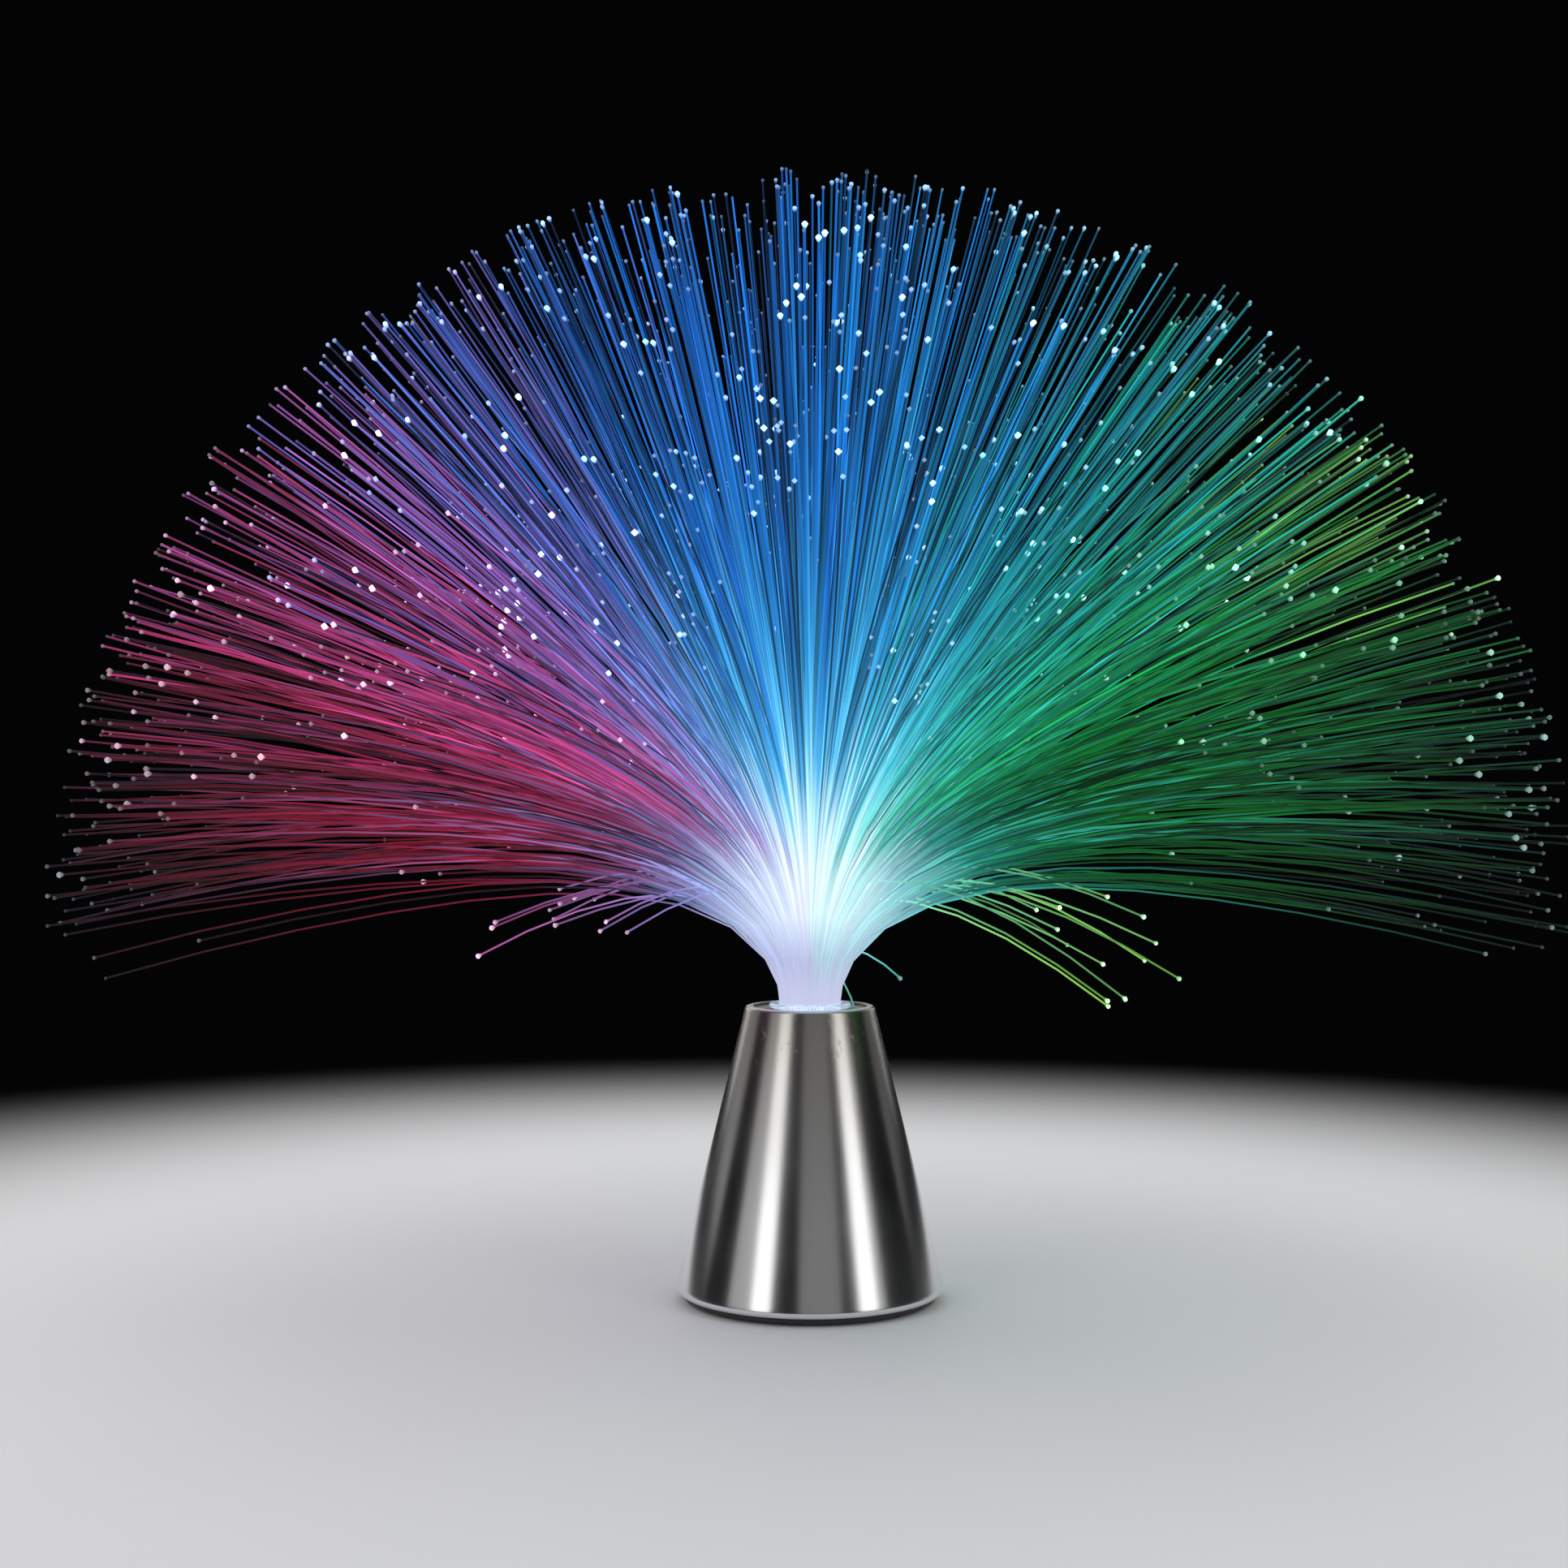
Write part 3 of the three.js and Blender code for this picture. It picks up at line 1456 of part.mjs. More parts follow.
addCopies( 'switch_screw', makeScrew( smallHeadRadius, switchScrewLength ), materials.screw,
	switchScrewSpots(), switchEarBottom() + switchEarThickness + seatGap );

// The middle cell stands on its button, so the three are in series.
cellSpots().forEach( ( spot, i ) => {

	const cell = add( `cell_${ i + 1 }`, makeCell(), materials.cell );
	const upsideDown = i === 1;
	cell.rotation.x = upsideDown ? Math.PI : 0;
	cell.position.set( spot.x, spot.y, upsideDown ? cellTop : cellBottom );

} );

const [ firstCell, middleCell, lastCell ] = cellSpots();
add( 'door_bridge_contact', makeBridgeContact( firstCell, middleCell ), materials.springSteel )
	.position.z = doorContactBottom;
add( 'door_return_contact', makeReturnContact( lastCell ), materials.springSteel )
	.position.z = doorContactBottom;
const mirrored = ( spot ) => new THREE.Vector2( spot.x, - spot.y );
const capBridge = makeBridgeContact( mirrored( middleCell ), mirrored( lastCell ) ).rotateX( Math.PI );
add( 'cap_bridge_contact', capBridge, materials.springSteel ).position.z = capContactTop;
add( 'cap_positive_contact', makePositiveContact( firstCell, cellAzimuths[ 0 ] ), materials.springSteel );
const rodTop = capTop + 2 * leadRadius + 2 * seatGap;
add( 'return_rod', cylinder( returnRodRadius, cellBottom, rodTop, pinSides ), materials.brass );

add( 'led_board', makeLedBoard(), materials.board );
add( 'led_red', makeLed(), materials.redLed ).position.x = - ledSpacing;
add( 'led_blue', makeLed(), materials.blueLed );
add( 'led_green', makeLed(), materials.greenLed ).position.x = ledSpacing;
[ - 1, 0, 1 ].forEach( ( step, i ) => {

	const turned = new THREE.Group();
	turned.rotation.z = resistorMiddle + step * resistorStep;
	const resistor = add( `resistor_${ i + 1 }`, makeResistor(), materials.resistor );
	resistor.position.x = resistorCircle;
	lamp.add( turned.add( resistor ) );

} );
add( 'controller_chip', makeChip(), materials.chip ).position.x = - resistorCircle;

add( 'battery_door', makeBatteryDoor(), materials.blackPlastic );
add( 'switch_body', makeSwitchBody(), materials.greyPlastic );
add( 'switch_knob', makeSwitchKnob(), materials.greyPlastic );
add( 'lead_switch', makeSwitchLead(), materials.whiteLead );
add( 'lead_return', makeReturnLead(), materials.blackLead );
add( 'lead_positive', makePositiveLead(), materials.redLead );

add( 'fibre_ferrule', makeFerrule(), materials.clear );
add( 'fibres_right', makeFibres( 0, samples ), materials.greenFibre );
add( 'fibres_back', makeFibres( Math.PI / 2, samples ), materials.blueFibre );
add( 'fibres_left', makeFibres( Math.PI, samples ), materials.redFibre );
add( 'fibres_front', makeFibres( 3 * Math.PI / 2, samples ), materials.blueFibre );

const strandGap = leastStrandGap( samples ).toFixed( 2 );
console.log( `${ samples.length } strands, least gap between two ${ strandGap } mm` );
console.log( `spring, least gap between turns ${ leastSpringGap().toFixed( 2 ) } mm` );

export default lamp;
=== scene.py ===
import math

import bmesh
import bpy
import numpy as np
from mathutils import Matrix, Vector


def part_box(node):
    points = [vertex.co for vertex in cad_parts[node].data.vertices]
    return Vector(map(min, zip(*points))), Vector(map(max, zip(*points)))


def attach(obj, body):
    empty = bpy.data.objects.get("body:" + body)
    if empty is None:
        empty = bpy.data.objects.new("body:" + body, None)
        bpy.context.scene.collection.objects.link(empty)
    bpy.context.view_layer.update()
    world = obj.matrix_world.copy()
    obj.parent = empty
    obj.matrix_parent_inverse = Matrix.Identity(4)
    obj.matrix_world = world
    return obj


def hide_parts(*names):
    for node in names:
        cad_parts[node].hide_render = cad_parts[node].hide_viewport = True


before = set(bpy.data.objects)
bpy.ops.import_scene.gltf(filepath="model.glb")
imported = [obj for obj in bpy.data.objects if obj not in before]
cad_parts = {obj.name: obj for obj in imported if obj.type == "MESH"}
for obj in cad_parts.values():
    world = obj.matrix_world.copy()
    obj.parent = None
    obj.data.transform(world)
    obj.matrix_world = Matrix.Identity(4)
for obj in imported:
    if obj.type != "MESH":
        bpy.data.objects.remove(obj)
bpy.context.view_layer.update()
print("frame loaded")

mm = 0.001


# Meshes from numpy arrays

meshing = {
    "merge": 1e-7, "bevelSegments": 2, "bevelAngle": math.radians(35), "flatWeight": 80,
    "sharpAngle": math.radians(38),
}


def meshFromFaces(name, points, faces):
    # faces is an array of corner numbers, as many to each face
    mesh = bpy.data.meshes.new(name)
    mesh.vertices.add(len(points))
    mesh.vertices.foreach_set("co", np.ascontiguousarray(points, dtype=np.float32).ravel())
    mesh.loops.add(faces.size)
    mesh.loops.foreach_set("vertex_index", faces.astype(np.int32).ravel())
    mesh.polygons.add(len(faces))
    mesh.polygons.foreach_set("loop_start", np.arange(len(faces), dtype=np.int32) * faces.shape[1])
    mesh.polygons.foreach_set("use_smooth", np.ones(len(faces), dtype=bool))
    mesh.update(calc_edges=True)
    return mesh


def ringFaces(rows, columns, closedAlong=False):
    # four neighbours in a grid of points make a face; the grid closes on itself the second way, and the
    # first way too if asked
    i, j = np.meshgrid(np.arange(rows if closedAlong else rows - 1), np.arange(columns), indexing="ij")
    i, j = i.ravel(), j.ravel()
    nextI, nextJ = (i + 1) % rows, (j + 1) % columns
    return np.stack([i * columns + j, i * columns + nextJ, nextI * columns + nextJ, nextI * columns + j], 1)


def meshFromGrid(name, grid, closedAlong=False):
    # grid is [along, round, xyz]
    return meshFromFaces(name, grid.reshape(-1, 3), ringFaces(*grid.shape[:2], closedAlong))


def cleaned(mesh):
    # merges the points gathered at a pole, and turns all faces outwards
    work = bmesh.new()
    work.from_mesh(mesh)
    bmesh.ops.remove_doubles(work, verts=work.verts, dist=meshing["merge"])
    bmesh.ops.dissolve_degenerate(work, edges=work.edges, dist=meshing["merge"])
    bmesh.ops.recalc_face_normals(work, faces=work.faces)
    work.to_mesh(mesh)
    work.free()
    return mesh


def polar(radius, angle):
    # x and y at a radius and an angle
    return radius * np.cos(angle), radius * np.sin(angle)


def turned(name, outline, sides, at=(0, 0)):
    # surface of revolution: each [radius, height] of the outline goes round an upright axis; an outline
    # that starts away from the axis closes on itself
    radius, height = np.array(outline, dtype=float).T[:, :, None]
    x, y = polar(radius, np.linspace(0, 2 * np.pi, sides, endpoint=False))
    grid = np.stack([at[0] + x, at[1] + y, np.broadcast_to(height, x.shape)], 2)
    return cleaned(meshFromGrid(name, grid, radius[0, 0] != 0))


def arc(centreRadius, centreHeight, radius, start, end, steps):
    # points round a bend in an outline, from one angle to another
    x, y = polar(radius, np.linspace(start, end, steps + 1))
    return list(zip(centreRadius + x, centreHeight + y))


def joined(name, *meshes):
    # several meshes as one
    work = bmesh.new()
    for mesh in meshes:
        work.from_mesh(mesh)
    whole = bpy.data.meshes.new(name)
    work.to_mesh(whole)
    work.free()
    for mesh in meshes:
        bpy.data.meshes.remove(mesh)
    return whole


def place(name, mesh, material, body, nodes=(), bevel=0, sharpAngle=meshing["sharpAngle"]):
    # a mesh becomes a piece that rides on a body, stands for CAD nodes and may have its edges eased
    mesh.name = name
    piece = bpy.data.objects.new(name, mesh)
    bpy.context.scene.collection.objects.link(piece)
    mesh.materials.clear()
    mesh.materials.append(material)
    if bevel:
        ease = piece.modifiers.new("easedEdges", "BEVEL")
        ease.width, ease.segments = bevel, meshing["bevelSegments"]
        ease.limit_method, ease.angle_limit = "ANGLE", meshing["bevelAngle"]
        flats = piece.modifiers.new("flatFaces", "WEIGHTED_NORMAL")
        flats.mode, flats.weight, flats.keep_sharp = "FACE_AREA", meshing["flatWeight"], True
    else:
        mesh.set_sharp_from_angle(angle=sharpAngle)
    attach(piece, body)
    if nodes:
        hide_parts(*nodes)


# how a circle's facets are known in a CAD node, in metres where it is a distance
facet = {
    "counts": (8, 12, 18, 28, 44), "merge": 2e-6, "flat": math.radians(1.5), "cuts": 3,
    "level": 2e-6, "even": 4e-6, "leastRadius": 4e-4, "leastStep": 1e-4, "slack": 0.02,
}


def isFacet(edge, centre, away):
    # level, both ends as far from the centre, and a whole share of a turn long
    a, b = edge.verts
    level = abs(a.co.z - b.co.z) < facet["level"]
    if not level or abs(a[away] - b[away]) > facet["even"] or a[away] < facet["leastRadius"]:
        return False
    step = (a.co.xy - centre).angle(b.co.xy - centre, 0)
    count = 2 * math.pi / max(step, facet["leastStep"])
    return any(abs(count - known) < facet["slack"] * known for known in facet["counts"])


def roundedCopy(nodeName, centres=()):
    # a copy of a CAD node whose triangles merge into whole faces; then each straight edge that is one
    # of a circle's facets is cut in four, and its new points move out to the circle
    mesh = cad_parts[nodeName].data.copy()
    work = bmesh.new()
    work.from_mesh(mesh)
    bmesh.ops.remove_doubles(work, verts=work.verts, dist=facet["merge"])
    bmesh.ops.dissolve_limit(work, angle_limit=facet["flat"], verts=work.verts, edges=work.edges)
    for x, y in centres:
        centre = Vector((x, y))
        away = work.verts.layers.float.new("away")
        for vert in work.verts:
            vert[away] = (vert.co.xy - centre).length
        facets = [edge for edge in work.edges if isFacet(edge, centre, away)]
        new = bmesh.ops.subdivide_edges(work, edges=facets, cuts=facet["cuts"])["geom_inner"]
        for vert in new:
            if isinstance(vert, bmesh.types.BMVert):
                vert.co.xy = centre + (vert.co.xy - centre).normalized() * vert[away]
        work.verts.layers.float.remove(work.verts.layers.float["away"])
    for face in work.faces:
        face.smooth = True
    work.to_mesh(mesh)
    work.free()
    return mesh


def placeCopy(nodeName, material, body, bevel, centres=()):
    # a rounded copy stands for its CAD node, and its name is the node's in camel case
    first, *rest = nodeName.split("_")
    name = first + "".join(word.capitalize() for word in rest)
    place(name, roundedCopy(nodeName, centres), material, body, [nodeName], bevel=bevel)


# Material nodes

noiseRange = (0.3, 0.7)


def newMaterial(name):
    material = bpy.data.materials.new(name)
    material.use_nodes = True
    tree = material.node_tree
    tree.nodes.clear()
    output = tree.nodes.new("ShaderNodeOutputMaterial")
    shader = tree.nodes.new("ShaderNodeBsdfPrincipled")
    tree.links.new(shader.outputs[0], output.inputs["Surface"])
    return material, tree, shader


def feed(tree, socket, value):
    if isinstance(value, bpy.types.NodeSocket):
        tree.links.new(value, socket)
    else:
        socket.default_value = value


def feedAll(tree, made, inputs):
    # a value or another node's output for each named input
    for key, value in inputs.items():
        feed(tree, made.inputs[key], value)


def node(tree, kind, inputs=(), **settings):
    made = tree.nodes.new("ShaderNode" + kind)
    for key, value in settings.items():
        setattr(made, key, value)
    feedAll(tree, made, dict(inputs))
    return made


def maths(tree, operation, first, second=0.0):
    return node(tree, "Math", {0: first, 1: second}, operation=operation).outputs[0]


def objectPoint(tree, stretch=(1, 1, 1)):
    # the surface's own place, stretched so that a pattern can run along the piece
    point = node(tree, "TexCoord").outputs["Object"]
    return node(tree, "Mapping", {"Vector": point, "Scale": stretch}).outputs[0]


def coordinate(tree, point, axisName):
    return node(tree, "SeparateXYZ", {0: point}).outputs[axisName]


def noise(tree, point, scale, detail=3, roughness=0.5):
    return node(tree, "TexNoise", {
        "Vector": point, "Scale": scale, "Detail": detail, "Roughness": roughness}).outputs["Fac"]


def spread(tree, value, start, end, low=0.0, high=1.0, easing="LINEAR"):
    # a value between start and end becomes one between low and high
    return node(tree, "MapRange", {
        "Value": value, "From Min": start, "From Max": end, "To Min": low, "To Max": high},
        interpolation_type=easing).outputs[0]


def between(tree, noiseValue, low, high):
    # a noise, most of which lies in noiseRange, becomes a value that wanders between low and high
    return spread(tree, noiseValue, *noiseRange, low, high)


def dimmed(colour, share):
    return tuple(share * c for c in colour)


def blendColours(tree, share, first, second):
    made = node(tree, "Mix", {0: share}, data_type="RGBA")
    for key, colour in (("A", first), ("B", second)):
        socket = next(s for s in made.inputs if s.name == key and s.type == "RGBA")
        feed(tree, socket, colour if isinstance(colour, bpy.types.NodeSocket) else (*colour, 1))
    return next(s for s in made.outputs if s.type == "RGBA")


def bump(tree, height, distance, strength):
    return node(tree, "Bump", {"Height": height, "Distance": distance, "Strength": strength}).outputs[0]


def mouldedPlastic(name, colour, lighter, roughness):
    # plastic from a mould: a fine spark-eroded grain, faint clouds and slightly uneven gloss
    material, tree, shader = newMaterial(name)
    point = objectPoint(tree)
    cloud = noise(tree, point, scale=90)
    feedAll(tree, shader, {
        "Base Color": blendColours(tree, spread(tree, cloud, start=0.3, end=0.75), colour, lighter),
        "Roughness": between(tree, cloud, roughness - 0.06, roughness + 0.1),
        "Normal": bump(tree, noise(tree, point, scale=2600, detail=2), distance=0.01 * mm, strength=0.5),
    })
    return material


def drawnMetal(name, colour, darker, roughness):
    # plated or drawn metal with fine marks along the piece and a few dull spots
    material, tree, shader = newMaterial(name)
    lines = noise(tree, objectPoint(tree, stretch=(1, 1, 0.12)), scale=900, detail=4)
    dull = noise(tree, objectPoint(tree), scale=260, detail=4)
    feedAll(tree, shader, {
        "Base Color": blendColours(tree, spread(tree, dull, start=0.3, end=0.6), darker, colour),
        "Metallic": 1,
        "Roughness": between(tree, lines, roughness, roughness + 0.14),
        "Normal": bump(tree, lines, distance=0.01 * mm, strength=0.4),
    })
    return material


# Camera: level with the neck, a little left of the lamp's axis

camera = {
    "left": 7.5 * mm, "distance": 656 * mm, "height": 148 * mm, "lens": 52.2, "sensor": 36,
    "clipStart": 10 * mm,
}


def addCamera():
    data = bpy.data.cameras.new("camera")
    data.lens = camera["lens"]
    data.sensor_width = camera["sensor"]
    data.clip_start = camera["clipStart"]
    eye = bpy.data.objects.new("camera", data)
    eye.location = (-camera["left"], -camera["distance"], camera["height"])
    eye.rotation_euler = (math.pi / 2, 0, 0)
    bpy.context.scene.collection.objects.link(eye)
    bpy.context.scene.camera = eye


addCamera()
print("camera placed")


# Floor, lights and backdrop

stage = {
    "floorRadius": 0.60, "floorFade": 0.22, "floorDrop": 0.2 * mm, "floorRings": 20, "floorSides": 128,
    "floorColour": (0.72, 0.72, 0.73), "cloudShare": 0.97, "floorRoughness": 0.75,
    "backdrop": (0.0012, 0.0013, 0.0016), "fill": 0.5, "lampDistance": 1.05, "aim": Vector((0, 0, 0.11)),
}

# each lamp: azimuth from the front and elevation in degrees, width and height in metres, brightness
softboxes = {
    "keyLeft": (-43, 27, 0.34, 1.05, 1.38),
    "keyLeftEdge": (-63, 27, 0.42, 1.05, 0.38),
    "keyRight": (50, 27, 0.33, 1.05, 1.45),
    "keyRightEdge": (62, 27, 0.18, 1.05, 0.35),
    "middleFill": (8, 27, 0.72, 1.05, 0.19),
    "sideLeft": (-114, 27, 0.48, 1.05, 0.26),
    "rimLeft": (-144, 27, 0.60, 1.05, 0.80),
    "sideRight": (116, 27, 0.40, 1.05, 0.12),
    "rimRight": (144, 27, 0.60, 1.05, 0.50),
    "back": (182, 30, 0.42, 0.8, 1.1),
    "overhead": (0, 88, 1.1, 1.1, 1.0),
}


def addFloor():
    # a pale round floor whose edge fades into the backdrop
    radii = np.linspace(0, stage["floorRadius"], stage["floorRings"])
    mesh = turned("floor", [(radius, -stage["floorDrop"]) for radius in radii], stage["floorSides"])
    material, tree, shader = newMaterial("pale floor")
    point = node(tree, "TexCoord").outputs["Object"]
    away = node(tree, "VectorMath", {0: point}, operation="LENGTH").outputs["Value"]
    colour, cloud = stage["floorColour"], noise(tree, point, scale=6)
    feedAll(tree, shader, {
        "Base Color": blendColours(tree, cloud, dimmed(colour, stage["cloudShare"]), colour),
        "Roughness": stage["floorRoughness"],
    })
    clear = node(tree, "BsdfTransparent")
    edge = spread(tree, away, stage["floorFade"], stage["floorRadius"], easing="SMOOTHERSTEP")
    mix = node(tree, "MixShader", {0: edge, 1: shader.outputs[0], 2: clear.outputs[0]})
    output = next(n for n in tree.nodes if n.type == "OUTPUT_MATERIAL")
    tree.links.new(mix.outputs[0], output.inputs["Surface"])
    floor = bpy.data.objects.new("floor", mesh)
    bpy.context.scene.collection.objects.link(floor)
    mesh.materials.append(material)


def addSoftbox(name, azimuth, elevation, width, height, brightness):
    # a tall box of even light at arm's length, turned to the lamp and unseen by the camera
    data = bpy.data.lights.new(name, "AREA")
    data.shape = "RECTANGLE"
    data.size, data.size_y = width, height
    data.energy = brightness * math.pi * width * height
    lamp = bpy.data.objects.new(name, data)
    turn, rise = math.radians(azimuth), math.radians(elevation)
    toLamp = Vector((math.sin(turn) * math.cos(rise), -math.cos(turn) * math.cos(rise), math.sin(rise)))
    lamp.location = stage["aim"] + toLamp * stage["lampDistance"]
    lamp.rotation_euler = toLamp.to_track_quat("Z", "Y").to_euler()
    lamp.visible_camera = False
    bpy.context.scene.collection.objects.link(lamp)


def addBackdrop():
    # a dark plain world to the eye, in metal and through clear plastic, and soft even light elsewhere
    world = bpy.data.worlds.new("studio")
    bpy.context.scene.world = world
    world.use_nodes = True
    tree = world.node_tree
    tree.nodes.clear()
    path = node(tree, "LightPath")
    seen = maths(tree, "MAXIMUM", path.outputs["Is Camera Ray"], path.outputs["Is Glossy Ray"])
    seen = maths(tree, "MAXIMUM", seen, path.outputs["Is Transmission Ray"])
    dark = node(tree, "Background", {"Color": (*stage["backdrop"], 1), "Strength": 1})
    soft = node(tree, "Background", {"Color": (1, 1, 1, 1), "Strength": stage["fill"]})
    mix = node(tree, "MixShader", {0: seen, 1: soft.outputs[0], 2: dark.outputs[0]})
    output = tree.nodes.new("ShaderNodeOutputWorld")
    tree.links.new(mix.outputs[0], output.inputs["Surface"])


addFloor()
addBackdrop()
for lampName, values in softboxes.items():
    addSoftbox(lampName, *values)
print("floor, lights and backdrop made")


# Cone shell

cone = {
    "footRadius": 38.8 * mm, "rimRadius": 18.6 * mm, "sheet": 1 * mm, "footBend": 1.6 * mm,
    "rimBend": 0.9 * mm, "hemRadius": 34.6 * mm, "lipRadius": 16.4 * mm,
    "sides": 256, "wallSteps": 96, "bendSteps": 10, "innerBendSteps": 4,
    "dents": 20, "dentDepth": 0.05 * mm, "depths": (0.3, 1), "dentSize": 1.5 * mm, "sizes": (0.6, 1.5),
    "belowRim": 3 * mm, "dentBand": 15 * mm, "crowding": 1.5, "seed": 7,
    "wave": 0.03 * mm, "waves": 3, "waveTwist": 4, "endsHeld": 20,
}

metal = {
    "tone": (0.86, 0.86, 0.87), "rimTone": (0.56, 0.53, 0.49), "toneFrom": 0.3,
    "wornTone": (0.5, 0.48, 0.45), "wornFrom": 0.74, "wornHaze": 0.25,
    "haze": (0.19, 0.25), "hazeFrom": 0.1, "cloud": (-0.02, 0.015),
}


def coneOutline():
    # a straight wall that tapers up, with a round bend into the hem below and into the lip above
    low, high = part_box("cone_shell")
    foot, rim = low.z, high.z
    steps, innerSteps = cone["bendSteps"], cone["innerBendSteps"]
    tilt = math.atan2(cone["footRadius"] - cone["rimRadius"], rim - foot)
    footCentre = cone["footRadius"] - cone["footBend"] * (1 + math.sin(tilt)) / math.cos(tilt)
    rimCentre = cone["rimRadius"] - cone["rimBend"] * (1 - math.sin(tilt)) / math.cos(tilt)
    footHeight, rimHeight = foot + cone["footBend"], rim - cone["rimBend"]
    outer = arc(footCentre, footHeight, cone["footBend"], -math.pi / 2, tilt, steps)
    top = arc(rimCentre, rimHeight, cone["rimBend"], tilt, math.pi / 2, steps)
    share = np.linspace(0, 1, cone["wallSteps"])[1:-1, None]
    wall = (1 - share) * np.array(outer[-1]) + share * np.array(top[0])
    inner = arc(rimCentre, rimHeight, cone["rimBend"] - cone["sheet"], math.pi / 2, tilt, innerSteps)
    innerFoot = arc(footCentre, footHeight, cone["footBend"] - cone["sheet"], tilt, -math.pi / 2, innerSteps)
    return [(cone["hemRadius"], foot), *outer, *map(tuple, wall), *top, (cone["lipRadius"], rim),
            (cone["lipRadius"], rim - cone["sheet"]), *inner, *innerFoot,
            (cone["hemRadius"], foot + cone["sheet"])]


def dented(mesh):
    # presses small round hollows into the wall near the rim, each a bell curve deep, and lets the wall
    # wave very slightly
    low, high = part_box("cone_shell")
    points = np.zeros(len(mesh.vertices) * 3, dtype=np.float32)
    mesh.vertices.foreach_get("co", points)
    points = points.reshape(-1, 3).astype(float)
    radius = np.hypot(points[:, 0], points[:, 1])
    azimuth = np.arctan2(points[:, 1], points[:, 0])
    height = points[:, 2]
    count, random = cone["dents"], np.random.default_rng(cone["seed"])
    spotAzimuth = random.uniform(-np.pi, np.pi, count)
    spotDrop = cone["dentBand"] * random.uniform(0, 1, count) ** cone["crowding"]
    spotHeight = high.z - cone["belowRim"] - spotDrop
    depth = cone["dentDepth"] * random.uniform(*cone["depths"], count)
    size = cone["dentSize"] * random.uniform(*cone["sizes"], count)
    turn = np.angle(np.exp(1j * (azimuth[:, None] - spotAzimuth)))
    away = ((turn * radius[:, None]) ** 2 + (height[:, None] - spotHeight) ** 2) / size ** 2
    push = (depth * np.exp(-away)).sum(1)
    rise = (height - low.z) / (high.z - low.z)
    push += cone["wave"] * np.sin(cone["waves"] * azimuth + cone["waveTwist"] * rise) * rise
    held = np.clip(rise * (1 - rise) * cone["endsHeld"], 0, 1)
    points[:, :2] *= (1 - push * held / radius)[:, None]
    mesh.vertices.foreach_set("co", points.astype(np.float32).ravel())
    mesh.update()
    return mesh


def polishedMetal():
    # polished spun metal: fine rings round it, warmer and hazier towards the rim, scuffed at the rim
    material, tree, shader = newMaterial("polished metal")
    low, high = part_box("cone_shell")
    point = objectPoint(tree)
    height = coordinate(tree, point, "Z")
    rise = spread(tree, height, low.z, high.z)
    rings = noise(tree, objectPoint(tree, stretch=(0.2, 0.2, 30)), scale=60, detail=1)
    scuff = noise(tree, point, scale=330, detail=4, roughness=0.6)
    nearRim = spread(tree, rise, metal["wornFrom"], 1.0)
    worn = maths(tree, "MULTIPLY", spread(tree, scuff, start=0.6, end=0.72), nearRim)
    tone = blendColours(tree, spread(tree, rise, metal["toneFrom"], 1.0), metal["tone"], metal["rimTone"])
    # the wall's roughness stays under 0.27, past which renders showed a faint line round the cone
    haze = spread(tree, rise, metal["hazeFrom"], 1.0, *metal["haze"])
    haze = maths(tree, "ADD", haze, between(tree, noise(tree, point, scale=38), *metal["cloud"]))
    aboveBend = spread(tree, height, low.z + cone["footBend"], low.z + 3 * cone["footBend"])
    relief = maths(tree, "SUBTRACT", maths(tree, "MULTIPLY", rings, aboveBend), worn)
    feedAll(tree, shader, {
        "Base Color": blendColours(tree, worn, tone, metal["wornTone"]),
        "Metallic": 1,
        "Roughness": maths(tree, "ADD", haze, maths(tree, "MULTIPLY", worn, metal["wornHaze"])),
        "Normal": bump(tree, relief, distance=0.004 * mm, strength=0.4),
    })
    return material


coneMesh = dented(turned("coneShell", coneOutline(), cone["sides"]))
place("coneShell", coneMesh, polishedMetal(), "base", ["cone_shell"])
print("cone made")


# Fibre spray

spray = {
    "count": 2500, "potRadius": 8.9 * mm, "potEase": 0.3 * mm, "rootFill": 0.975, "rootDepth": 0.4 * mm,
    "radius": 0.26 * mm, "rootShare": 0.62, "fullAt": 45 * mm, "sides": 4, "rings": 12, "crowding": 1.6,
    "fineSteps": 80, "length": 233 * mm, "sideTrim": 0.05, "endTrim": 0.05, "sag": 8, "drift": 3,
    "bend": 38 * mm, "bends": (0.8, 1.25), "azimuthJitter": 0.02,
    "sideLean": 99, "frontLean": 64, "leanJitter": 1.1, "fanPower": 1.5,
    "tufts": 620, "tuftPull": 0.55, "pulls": (0.4, 1.3), "shortTufts": 0.36, "shortFrom": 0.3,
    "shortCut": (0.6, 0.92), "cutJitter": 0.02, "singles": 0.05, "singleCut": (0.45, 0.95),
    "brightness": (-0.12, 0.42), "tuftBrightness": (0.4, 1.4), "brightnessLimits": (0.15, 2.2),
    "darkShare": 0.16, "dark": 0.1, "brightShare": 0.17, "brightReach": (0.3, 0.9),
    "tint": 3, "tuftTint": 5, "seed": 2024,
}

bead = {
    "radius": 0.62 * mm, "rings": (-1.0, 0.6, 1.3), "endShare": 0.5, "size": (0.62, 0.35),
    "sizeLimits": (0.6, 1.3), "light": (-0.5, 0.65), "lightLimits": (0.12, 2.2),
    "shortLight": 1.6, "outerLight": 0.65, "innerGain": 0.85, "innerFrom": (0.25, 0.6),
}

